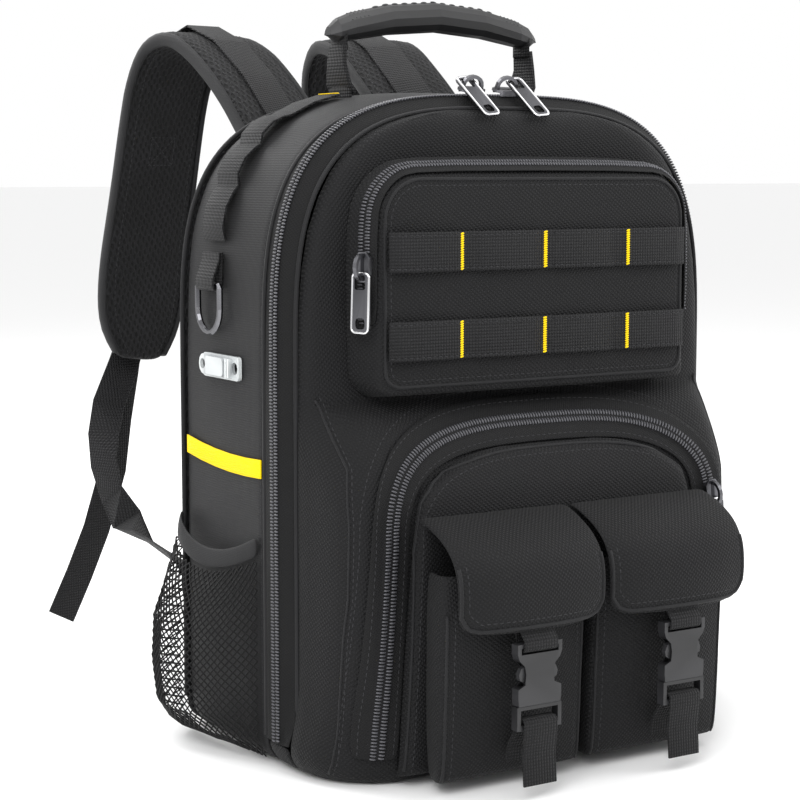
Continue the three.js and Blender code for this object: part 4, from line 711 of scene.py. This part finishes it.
def arch_line(inset: float, foot: float) -> list[tuple[float, float]]:
    """Trace the lower compartment's arch from its left foot to its right one.

    Args:
        inset: How far inside its zip's middle line it runs, in millimetres.
        foot: The height it starts from.

    Returns:
        Pairs of X and Z in millimetres.
    """
    shoulder, power = 154.0, 3.0
    right = [(130 - inset + 9 * (1 - z / shoulder), z) for z in np.linspace(foot, shoulder, 10)[:-1]]
    for k in range(25):
        angle = math.pi / 2 * k / 24
        right.append(((130 - inset) * max(math.cos(angle), 0) ** (2 / power),
                      shoulder + (75 - inset) * math.sin(angle) ** (2 / power)))
    return [(-x, z) for x, z in right] + [(x, z) for x, z in reversed(right[:-1])]


def round_box(half: float, low: float, high: float, corner: float, low_corner: float) -> list[tuple[float, float]]:
    """Trace a closed box with rounded corners.

    Args:
        half: Half its width.
        low: Its lower edge.
        high: Its upper edge.
        corner: Its upper corners' radius.
        low_corner: Its lower corners' radius.

    Returns:
        Pairs of X and Z in millimetres, from the upper right corner round.
    """
    spots = ((half - corner, high - corner, corner, 0), (-half + corner, high - corner, corner, 1),
             (-half + low_corner, low + low_corner, low_corner, 2),
             (half - low_corner, low + low_corner, low_corner, 3))
    line = []
    for x, z, radius, quarter in spots:
        for k in range(9):
            angle = math.pi / 2 * (quarter + k / 8)
            line.append((x + radius * math.cos(angle), z + radius * math.sin(angle)))
    return line


class Bag:
    """The bag's cloth shells, their seams and their zips."""

    CLOTHS = (
        ("rear_gusset", OXFORD, "side_cloth", 2, 1.6), ("front_shell", BASKET, "front_cloth", 1, 1.2),
        ("lower_door", BASKET, "front_cloth", 2, 1.4), ("upper_pocket", BASKET, "front_cloth", 2, 1.2),
        ("back_panel", SPACER, "pad_cloth", 2, 1.2), ("base_strip", BASKET, "webbing", 1, 0.0),
        ("main_zip", TAPE, "zip", 1, 0.0), ("lower_zip", TAPE, "zip", 2, 0.0), ("upper_zip", TAPE, "zip", 1, 0.0),
        ("load_row_upper", WEBBING, "webbing", 0, 0.0), ("load_row_lower", WEBBING, "webbing", 0, 0.0),
    )
    PAIRS = (
        ("pouch", BASKET, "front_cloth", 2, 1.6), ("flap", BASKET, "front_cloth", 2, 1.6),
        ("flap_web", WEBBING, "webbing", 0, 0.0), ("pouch_web", WEBBING, "webbing", 0, 0.0),
        ("side_band", YELLOW, "yellow_cloth", 0, 0.0), ("side_web", WEBBING, "webbing", 0, 0.0),
        ("ring_tab", WEBBING, "webbing", 0, 0.0), ("grip_leg", WEBBING, "webbing", 0, 0.0),
        ("net_rim", BINDING, "webbing", 2, 0.6), ("strap_pad", SPACER, "pad_cloth", 2, 0.8),
        ("strap_web", WEBBING, "webbing", 0, 0.0), ("strap_tail", WEBBING, "webbing", 0, 0.0),
    )

    STRAP = (
        (66, 145, 372), (66, 145.6, 393), (66, 178, 424), (66, 217, 456), (69, 257, 484), (72, 292, 496),
        (76, 321, 487), (82, 336, 461), (87, 339, 419), (94, 339, 374), (101, 338, 336), (108, 334, 295),
        (113, 330, 263), (115, 327, 243),
    )
    DART = (
        (156.2, -22.8, 247.4), (153.8, -37.5, 227.0), (151.0, -53.7, 205.9), (152.5, -59.0, 169.0),
        (153.3, -58.3, 124.0), (155.0, -54.9, 98.0), (155.3, -51.5, 65.0), (156.2, -48.8, 32.0),
        (157.5, -46.0, 16.0), (158.5, -42.0, 8.0),
    )

    def __init__(self, shop: Workshop) -> None:
        self.shop = shop
        self.made: dict[str, bpy.types.Object] = {}

    def sew(self) -> None:
        """Make every cloth piece that stands for one CAD node."""
        rows = list(self.CLOTHS)
        rows += [(f"{name}_{side}", *rest) for name, *rest in self.PAIRS for side in SIDES]
        for node, finish, slot, levels, puff in rows:
            self.made[node] = self.shop.soften(node, finish, slot, levels, puff)

    def front(self, names: list[str], pairs: list[tuple[float, float]],
              step: float) -> tuple[list[Vector], list[Vector]]:
        """Drop a line drawn on the front onto some pieces.

        Args:
            names: The pieces.
            pairs: The line's X and Z in millimetres.
            step: The spacing of its points in millimetres.

        Returns:
            The places and the surface's directions there.
        """
        line = even([self.shop.axes.at(x, -90, z) for x, z in pairs], step * MM)
        way = Vector((0, 1, 0))
        return Surface([self.made[n] for n in names]).drop(line, [way] * len(line), 0.08)

    def pipe(self, name: str, places: list[Vector], outs: list[Vector], width: float,
             closed: bool = False) -> None:
        """Lay a piped edge.

        Args:
            name: The piping's name.
            places: Where it runs.
            outs: The surface's direction at each place.
            width: Its thickness in millimetres.
            closed: Whether it joins up.
        """
        if len(places) < 4:
            return
        piece = sweep(name, places, outs, width * MM, width * MM, 8, closed)
        self.shop.finish(piece, BINDING, "webbing")

    def zips(self) -> None:
        """Lay the teeth of the three zips."""
        axes = self.shop.axes
        line = even([axes.at(x, 0, z) for x, z in body_line(0)], TOOTH_PITCH * MM)
        outs = rim_outs(line)
        lifted = [p + o * (1.5 * MM) for p, o in zip(line, outs)]
        self.shop.teeth("main_zip_teeth", lifted, outs)
        places, normals = self.front(["lower_zip"], arch_line(0, 21), TOOTH_PITCH)
        self.shop.teeth("lower_zip_teeth", places, normals)
        ring = round_box(131.5, 246, 399, 40, 20)
        path = [axes.at(131.5, -41, 297)] + [axes.at(x, -41, z) for x, z in ring[:18]] + [axes.at(-131.5, -41, 297)]
        line = even(path, TOOTH_PITCH * MM)
        centre = axes.at(0, -5, 300)
        ways = [Vector((centre.x - p.x if abs(p.x) > 0.09 else 0, 0.012,
                        centre.z - p.z if p.z > 0.35 else 0)).normalized() for p in line]
        places, normals = Surface([self.made["upper_zip"]]).drop(line, ways, 0.03)
        self.shop.teeth("upper_zip_teeth", places, normals)

    def seams(self) -> None:
        """Lay the piping and the stitch rows of the shells and pockets."""
        axes = self.shop.axes
        for name, y, inset in (("front_zip_seam", -13.7, 7.4), ("rear_zip_seam", 15.9, 0.6)):
            line = even([axes.at(x, y, z) for x, z in body_line(inset)], 6 * MM)
            seam = sweep(name, line, rim_outs(line), 3.6 * MM, 3.0 * MM, 10)
            self.shop.finish(seam, BINDING, "webbing")
        body = Surface([self.made["rear_gusset"]])
        for name, y in (("gusset_front_stitches", 20.5), ("gusset_rear_stitches", 130.5)):
            line = even([axes.at(x, y, z) for x, z in body_line(0)], STITCH_PITCH * MM)
            ways = [Vector((-p.x if abs(p.x) > 0.16 or p.z < 0.4 else -p.x * 0.6, 0,
                            -1 if p.z > 0.4 else 0)).normalized() for p in line]
            places, outs = body.drop(line, ways, 0.02)
            self.shop.stitches(name, places, outs)
        back = even([axes.at(x, 134.4, z) for x, z in body_line(0.2)], 6 * MM)
        self.pipe("back_edge_piping", back, [(p - axes.at(0, 134, 200)).normalized() for p in back], 3.6)
        rows = (
            ("upper_pocket_piping", ["upper_pocket"], round_box(120, 255, 387, 26, 10), 2.4, True),
            ("lower_door_piping", ["lower_door"], arch_line(17, 12), 2.4, False),
        )
        for name, on, pairs, width, closed in rows:
            places, outs = self.front(on, pairs, 4)
            self.pipe(name, places, outs, width, closed)
        stitch_rows = (
            ("pocket_edge_stitches", ["upper_pocket"], round_box(116, 259, 383, 23, 8) + [(116, 360)]),
            ("door_edge_stitches", ["lower_door"], arch_line(21, 12)),
            ("arch_outer_stitches", ["lower_zip"], arch_line(-10.5, 24)),
            ("arch_inner_stitches", ["lower_zip"], arch_line(10.5, 24)),
            ("arch_shell_stitches", ["front_shell"], arch_line(-18, 24)),
        )
        for name, on, pairs in stitch_rows:
            places, outs = self.front(on, pairs, STITCH_PITCH)
            self.shop.stitches(name, places, outs)
        for row, low in (("load_row_upper", 328.3), ("load_row_lower", 271.8)):
            for label, height in (("low", low + 2.2), ("high", low + 23.2)):
                places, outs = self.front([row], [(-118, height), (118, height)], STITCH_PITCH)
                self.shop.stitches(f"{row}_{label}_stitches", places, outs)

    def pouches(self) -> None:
        """Lay the piping and stitches of the two pouches and their flaps."""
        for side, sign in zip(SIDES, (-1, 1)):
            middle = sign * 58.5
            pouch, flap = f"pouch_{side}", f"flap_{side}"
            for end in (-1, 1):
                x = middle + end * 52.2
                places, outs = self.front([pouch], [(x, 10), (x, 118)], 4)
                self.pipe(f"{pouch}_piping_{'outer' if end == sign else 'inner'}", places, outs, 2.2)
                x = middle + end * 47.5
                places, outs = self.front([pouch], [(x, 12), (x, 118)], STITCH_PITCH)
                self.shop.stitches(f"{pouch}_stitches_{'outer' if end == sign else 'inner'}", places, outs)
            places, outs = self.front([pouch], [(middle - 47, 12), (middle + 47, 12)], STITCH_PITCH)
            self.shop.stitches(f"{pouch}_foot_stitches", places, outs)
            rim = [(middle - 54.5, 150), (middle - 54.5, 120), (middle - 50, 113), (middle - 42, 110.4),
                   (middle + 42, 110.4), (middle + 50, 113), (middle + 54.5, 120), (middle + 54.5, 150)]
            places, outs = self.front([flap], rim, 3)
            self.pipe(f"{flap}_binding", places, outs, 2.6)
            inner = [(middle - 50, 150), (middle - 50, 122), (middle - 42, 115.2), (middle + 42, 115.2),
                     (middle + 50, 122), (middle + 50, 150)]
            places, outs = self.front([flap], inner, STITCH_PITCH)
            self.shop.stitches(f"{flap}_stitches", places, outs)

    def darts(self) -> None:
        """Lay the seam where the front shell's side panel meets its face."""
        for sign in (-1, 1):
            line = even([self.shop.axes.at(sign * x, y, z) for x, y, z in self.DART], 3 * MM)
            ways = [Vector((-sign * 0.75, 0.66, 0)).normalized()] * len(line)
            places, outs = Surface([self.made["front_shell"]]).drop(line, ways, 0.03)
            self.pipe(f"shell_dart_{'left' if sign < 0 else 'right'}", places, outs, 1.7)
            shifted = [p + Vector((-sign * 0.003, -0.0015, 0)) for p in even(places, STITCH_PITCH * MM)]
            spots, outs = Surface([self.made["front_shell"]]).drop(shifted, [ways[0]] * len(shifted), 0.03)
            self.shop.stitches(f"shell_dart_stitches_{'left' if sign < 0 else 'right'}", spots, outs)

    def strap_edges(self) -> None:
        """Bind each strap pad's two edges and stitch beside them on both faces."""
        for side, sign in zip(SIDES, (-1, 1)):
            pad = self.made[f"strap_pad_{side}"]
            surface = Surface([pad])
            points = np.array([tuple(v.co) for v in pad.data.vertices])
            route = even([self.shop.axes.at(sign * x, y, z) for x, y, z in self.STRAP], 9 * MM)
            edges = {-1: [], 1: []}
            outs = []
            for place, along in zip(route, headings(route)):
                near = points[(np.abs((points - np.array(place)) @ np.array(along)) < 0.006)
                              & (np.linalg.norm(points - np.array(place), axis=1) < 0.055)]
                if len(near) < 4:
                    continue
                for end in (-1, 1):
                    edges[end].append(Vector(near[np.argmax(near[:, 0] * end)]))
                across = (edges[1][-1] - edges[-1][-1]).normalized()
                outs.append(along.cross(across).normalized())
            for end in (-1, 1):
                smooth = edges[end]
                for _ in range(2):
                    inner = [(smooth[i - 1] + smooth[i] * 2 + smooth[i + 1]) / 4
                             for i in range(1, len(smooth) - 1)]
                    smooth = [smooth[0]] + inner + [smooth[-1]]
                name = f"strap_{side}_binding_{'right' if end > 0 else 'left'}"
                piece = sweep(name, smooth, outs, 4.5 * MM, 11 * MM, 10)
                self.shop.finish(piece, BINDING, "webbing")
                for face in (-1, 1):
                    across = Vector((-end, 0, 0))
                    fine = even([p + across * (8 * MM) for p in smooth], STITCH_PITCH * MM)
                    share = [outs[round(i * (len(outs) - 1) / (len(fine) - 1))] for i in range(len(fine))]
                    spots, normals = surface.drop(fine, [o * face for o in share], 0.02)
                    self.shop.stitches(f"{name}_stitches_{'in' if face > 0 else 'out'}", spots, normals)

    def strap_tops(self) -> None:
        """Sew a webbing down each strap pad's outer face, and a crossed box on its inner face."""
        for side, sign in zip(SIDES, (-1, 1)):
            surface = Surface([self.made[f"strap_pad_{side}"]])
            route = even([self.shop.axes.at(sign * x, y, z) for x, y, z in self.STRAP], 8 * MM)[2:-2]
            alongs = headings(route)
            outs = [along.cross(Vector((1, 0, 0))).normalized() for along in alongs]
            places, faces = surface.drop(route, outs, 0.02)
            web = sweep(f"strap_{side}_top_web", places, faces, 27 * MM, 2.2 * MM, 14)
            self.shop.finish(web, WEBBING, "webbing")
            middle = len(route) * 2 // 3
            centre, out, along = route[middle], outs[middle], alongs[middle]
            corners = [(-11, -11), (11, -11), (11, 11), (-11, 11), (-11, -11), (11, 11), (11, -11), (-11, 11)]
            line = even([centre + Vector((a * MM, 0, 0)) + along * (b * MM) for a, b in corners], 3.6 * MM)
            spots, faces = surface.drop(line, [-out] * len(line), 0.02)
            self.shop.stitches(f"strap_{side}_crossed_box", spots, faces, 2.6)

    def grip_webs(self) -> None:
        """Carry the grip's two webbing legs up into the grip and down onto the gusset."""
        for side, sign in zip(SIDES, (-1, 1)):
            low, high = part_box(f"grip_leg_{side}")
            x, y = (low[0] + high[0]) / 2, (low[1] + high[1]) / 2
            for part, start, end, width in (
                ("top", high[2] - 4 * MM, high[2] + 9 * MM, 20.5),
                ("foot", low[2] + 5 * MM, low[2] - 5 * MM, 31.0),
            ):
                line = even([Vector((x, y, start)), Vector((x, y, end))], 3 * MM)
                outs = [Vector((sign, 0, 0))] * len(line)
                web = sweep(f"grip_leg_{side}_{part}", line, outs, width * MM, 3.4 * MM, 16)
                self.shop.finish(web, WEBBING, "webbing")

    def tacks(self) -> None:
        """Sew the yellow bar tacks on the load rows and at the grip's feet."""
        places, alongs, outs = [], [], []
        for row, low in (("load_row_upper", 328.3), ("load_row_lower", 271.8)):
            for x in (-65.7, 1.0, 69.0):
                for k in range(16):
                    z = low + 1.5 + k * 1.5
                    hit, normal = self.front([row], [(x - 0.1, z), (x + 0.1, z)], 1)
                    if hit:
                        places.append(hit[0])
                        alongs.append(Vector((1, 0, 0.25)).normalized())
                        outs.append(normal[0])
        row = self.shop.repeater.build("load_row_tacks", places, alongs, outs, (3.2, 1.5, 1.0),
                                       self.shop.materials.of(YELLOW))
        self.shop.finish(row, YELLOW, "yellow_cloth")
        legs = Surface([self.made["grip_leg_left"], self.made["grip_leg_right"],
                        self.made["side_web_left"], self.made["side_web_right"]])
        spots, ways = [], []
        for sign in (-1, 1):
            for k in range(18):
                spots.append(self.shop.axes.at(sign * 86, 68 + k * 1.4, 446))
                ways.append(Vector((-sign * 0.5, 0, -1)).normalized())
        places, outs = legs.drop(spots, ways, 0.03)
        row = self.shop.repeater.build("grip_foot_tacks", places, [Vector((1, 0, 0))] * len(places), outs,
                                       (3.4, 1.5, 1.0), self.shop.materials.of(YELLOW))
        self.shop.finish(row, YELLOW, "yellow_cloth")


class Nets:
    """The two side pockets of open net."""

    ROWS = 46
    COLUMNS = 42
    STRAND = 0.62

    def __init__(self, shop: Workshop) -> None:
        self.shop = shop
        self.tree, self.size = self._strand_tree()

    def build(self) -> None:
        """Weave both nets as a lattice of strands on the CAD pockets' outer faces."""
        for side, sign in zip(SIDES, (-1, 1)):
            node = f"net_pocket_{side}"
            surface = Surface([self.shop.nodes[node]])
            way = Vector((-sign, 0, 0))
            grid = {}
            for i in range(self.ROWS + 1):
                for j in range(self.COLUMNS + 1):
                    y = 22 + 108 * j / self.COLUMNS
                    low, high = 5.0, 124 + 18 * (2 * abs(j / self.COLUMNS - 0.5)) ** 2
                    point = self.shop.axes.at(sign * 190, y, low + (high - low) * i / self.ROWS)
                    hit, _ = surface.drop([point], [way], 0.05)
                    if hit:
                        grid[i, j] = hit[0]
            work = bmesh.new()
            verts = {key: work.verts.new(point) for key, point in grid.items() if sum(key) % 2 == 0}
            for (i, j), corner in verts.items():
                for across in (-1, 1):
                    other = verts.get((i + 1, j + across))
                    if other:
                        work.edges.new((corner, other))
            mesh = bpy.data.meshes.new(f"{node}_strands")
            work.to_mesh(mesh)
            work.free()
            piece = add_object(f"{node}_strands", mesh)
            self._thicken(piece)
            box_uv(piece.data)
            self.shop.finish(piece, NET, "net")
            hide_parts(node)

    @staticmethod
    def _strand_tree() -> tuple[bpy.types.NodeTree, str]:
        """Make the node tree that turns a lattice's edges into strands.

        Returns:
            The tree, and the identifier of its strand radius.
        """
        tree = bpy.data.node_groups.new("thicken_strands", "GeometryNodeTree")
        tree.interface.new_socket("Geometry", in_out="INPUT", socket_type="NodeSocketGeometry")
        size = tree.interface.new_socket("Strand Radius", in_out="INPUT", socket_type="NodeSocketFloat").identifier
        tree.interface.new_socket("Geometry", in_out="OUTPUT", socket_type="NodeSocketGeometry")
        source, result = tree.nodes.new("NodeGroupInput"), tree.nodes.new("NodeGroupOutput")
        split = tree.nodes.new("GeometryNodeSplitEdges")
        curve = tree.nodes.new("GeometryNodeMeshToCurve")
        ring = tree.nodes.new("GeometryNodeCurvePrimitiveCircle")
        ring.inputs["Resolution"].default_value = 4
        solid = tree.nodes.new("GeometryNodeCurveToMesh")
        real = tree.nodes.new("GeometryNodeRealizeInstances")
        for start, end in ((source.outputs[0], split.inputs[0]), (split.outputs[0], curve.inputs[0]),
                           (curve.outputs[0], solid.inputs["Curve"]), (ring.outputs[0], solid.inputs["Profile Curve"]),
                           (source.outputs[1], ring.inputs["Radius"]), (solid.outputs[0], real.inputs[0]),
                           (real.outputs[0], result.inputs[0])):
            tree.links.new(start, end)
        return tree, size

    def _thicken(self, piece: bpy.types.Object) -> None:
        """Give each strand its thickness.

        Args:
            piece: The lattice of edges, which becomes a plain mesh.
        """
        modifier = piece.modifiers.new("thicken", "NODES")
        modifier.node_group = self.tree
        modifier[self.size] = self.STRAND * MM
        graph = bpy.context.evaluated_depsgraph_get()
        baked = bpy.data.meshes.new_from_object(piece.evaluated_get(graph))
        piece.modifiers.clear()
        piece.data = baked
        baked.shade_smooth()


class Hardware:
    """The hard pieces, which keep their CAD shapes with rounded edges and real finishes."""

    FINISHES = (
        (("buckle_socket_left", "buckle_socket_right", "buckle_plug_left", "buckle_plug_right",
          "strap_lock_left", "strap_lock_right"), BLACK_PLASTIC, 0.7),
        (("ring_left", "ring_right"), GUNMETAL, 0.6),
        (("slider_main_left", "slider_main_right", "slider_upper", "slider_lower"), SATIN_METAL, 0.4),
        (("pull_main_left", "pull_main_right", "pull_upper", "pull_lower"), SATIN_METAL, 0.5),
        (("charging_port",), PORT_GREY, 0.5), (("grip",), RUBBER, 1.6),
    )

    def __init__(self, shop: Workshop) -> None:
        self.shop = shop

    def dress(self) -> None:
        """Round and paint every hard node."""
        for names, finish, width in self.FINISHES:
            for name in names:
                node = self.shop.nodes[name]
                node.data.materials.clear()
                node.data.materials.append(self.shop.materials.of(finish))
                bevel = node.modifiers.new("rounded", "BEVEL")
                bevel.width = width * MM
                bevel.segments = 3
                bevel.limit_method = "ANGLE"
                bevel.angle_limit = math.radians(28)
                LOG.info("dressed %s", name)

    def pull_rims(self) -> None:
        """Lay a polished raised rim round each pull's satin panel."""
        for name in ("pull_main_left", "pull_main_right", "pull_upper", "pull_lower"):
            points = np.array([tuple(v.co) for v in self.shop.nodes[name].data.vertices])
            centre = points.mean(axis=0)
            _, _, turns = np.linalg.svd(points - centre)
            along, across, out = (Vector(t) for t in turns)
            if out.dot(Vector((-0.5, -0.8, 0.4))) < 0:
                out.negate()
            shares = (points - centre) @ np.array([tuple(along), tuple(across)]).T
            low, high = shares.min(axis=0), shares.max(axis=0)
            mid_long, mid_wide = (float(v) for v in (low + high) / 2)
            middle = Vector(centre) + along * mid_long + across * mid_wide
            half_long, half_wide = (float(v) - 0.8 * MM for v in (high - low) / 2)
            ring = round_box(half_wide / MM, -half_long / MM, half_long / MM, 3.0, 3.0)
            line = [middle + across * (x * MM) + along * (z * MM) + out * (0.7 * MM) for x, z in ring]
            rim = sweep(f"{name}_rim", line, [out] * len(line), 1.7 * MM, 1.7 * MM, 8, True)
            self.shop.finish(rim, BRIGHT_METAL, "dark_metal", name)

    def grip_beads(self) -> None:
        """Set the grip's ridge of small beads and the dots near its ends."""
        surface = Surface([self.shop.nodes["grip"]])
        places, outs = surface.drop([self.shop.axes.at(x, 80, 512) for x in range(-48, 49, 8)],
                                    [Vector((0, 0, -1))] * 13, 0.02)
        beads = self.shop.repeater.build("grip_ridge_beads", places, [Vector((1, 0, 0))] * len(places), outs,
                                         (5.0, 2.6, 1.6), self.shop.materials.of(RUBBER))
        self.shop.finish(beads, RUBBER, "grip_rubber")
        spots = [self.shop.axes.at(sign * (58 + 3.2 * i), 72 + 4 * j, 512)
                 for sign in (-1, 1) for i in range(5) for j in range(5)]
        places, outs = surface.drop(spots, [Vector((0, 0, -1))] * len(spots), 0.02)
        dots = self.shop.repeater.build("grip_end_dots", places, [Vector((1, 0, 0))] * len(places), outs,
                                        (1.3, 1.3, 0.8), self.shop.materials.of(RUBBER))
        self.shop.finish(dots, RUBBER, "grip_rubber")


class Studio:
    """The floor, the light and the camera."""

    LENS = 90.31
    AIM = Vector((0.52889, 0.84095, -0.11437))
    # Each light's name, place in metres, side in metres and power in watts
    LIGHTS = (
        ("key", (-1.4, -1.3, 1.5), 1.2, 26.0), ("side", (1.6, -0.9, 1.2), 1.0, 12.0),
        ("rim", (-0.6, 1.5, 1.7), 1.4, 30.0), ("top", (0.1, -0.2, 2.2), 1.6, 16.0),
    )

    def __init__(self, axes: Axes) -> None:
        self.axes = axes

    def build(self) -> None:
        """Make the pale floor, soft lights and a camera at the photograph's angle."""
        mesh = bpy.data.meshes.new("studio_floor")
        mesh.from_pydata([(-40, -40, 0), (40, -40, 0), (40, 40, 0), (-40, 40, 0)], [], [(0, 1, 2, 3)])
        floor = add_object("studio_floor", mesh)
        shader = Shader("pale_floor")
        shader.feed(shader.surface, {"Base Color": srgb("f4f4f4"), "Roughness": 0.9})
        mesh.materials.append(shader.material)
        world = bpy.context.scene.world or bpy.data.worlds.new("studio_world")
        bpy.context.scene.world = world
        world.use_nodes = True
        backdrop = world.node_tree.nodes["Background"]
        backdrop.inputs["Color"].default_value = (1.0, 1.0, 1.0, 1.0)
        backdrop.inputs["Strength"].default_value = 1.0
        bpy.context.scene.view_settings.view_transform = "Standard"
        for light in self.LIGHTS:
            self._light(*light)
        self._camera()

    def _light(self, name: str, place: tuple[float, float, float], size: float, power: float) -> None:
        """Add a square soft light that points at the bag.

        Args:
            name: The light's name.
            place: Where it stands, in metres.
            size: Its side in metres.
            power: Its power in watts.
        """
        data = bpy.data.lights.new(name, "AREA")
        data.energy = power
        data.size = size
        light = bpy.data.objects.new(name, data)
        light.location = place
        light.rotation_euler = (Vector((0, 0, 0.25)) - Vector(place)).to_track_quat("-Z", "Y").to_euler()
        bpy.context.scene.collection.objects.link(light)

    def _camera(self) -> None:
        """Put the camera where the photograph was taken from."""
        data = bpy.data.cameras.new("photo_camera")
        data.sensor_width = 36.0
        data.lens = self.LENS
        camera = bpy.data.objects.new("photo_camera", data)
        camera.location = self.axes.at(-785.65, -1125.24, 393.40)
        camera.rotation_euler = self.AIM.to_track_quat("-Z", "Y").to_euler()
        bpy.context.scene.collection.objects.link(camera)
        bpy.context.scene.camera = camera


def main() -> None:
    """Build the backpack's looks in order."""
    logging.basicConfig(level=logging.INFO)
    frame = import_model()
    axes = Axes.from_frame()
    Studio(axes).build()
    shop = Workshop(axes, Materials(), Repeater(), frame["nodes"])
    bag = Bag(shop)
    bag.sew()
    bag.zips()
    bag.seams()
    bag.pouches()
    bag.darts()
    bag.strap_edges()
    bag.strap_tops()
    bag.grip_webs()
    bag.tacks()
    Nets(shop).build()
    hardware = Hardware(shop)
    hardware.dress()
    hardware.pull_rims()
    hardware.grip_beads()


if __name__ == "__main__":
    main()
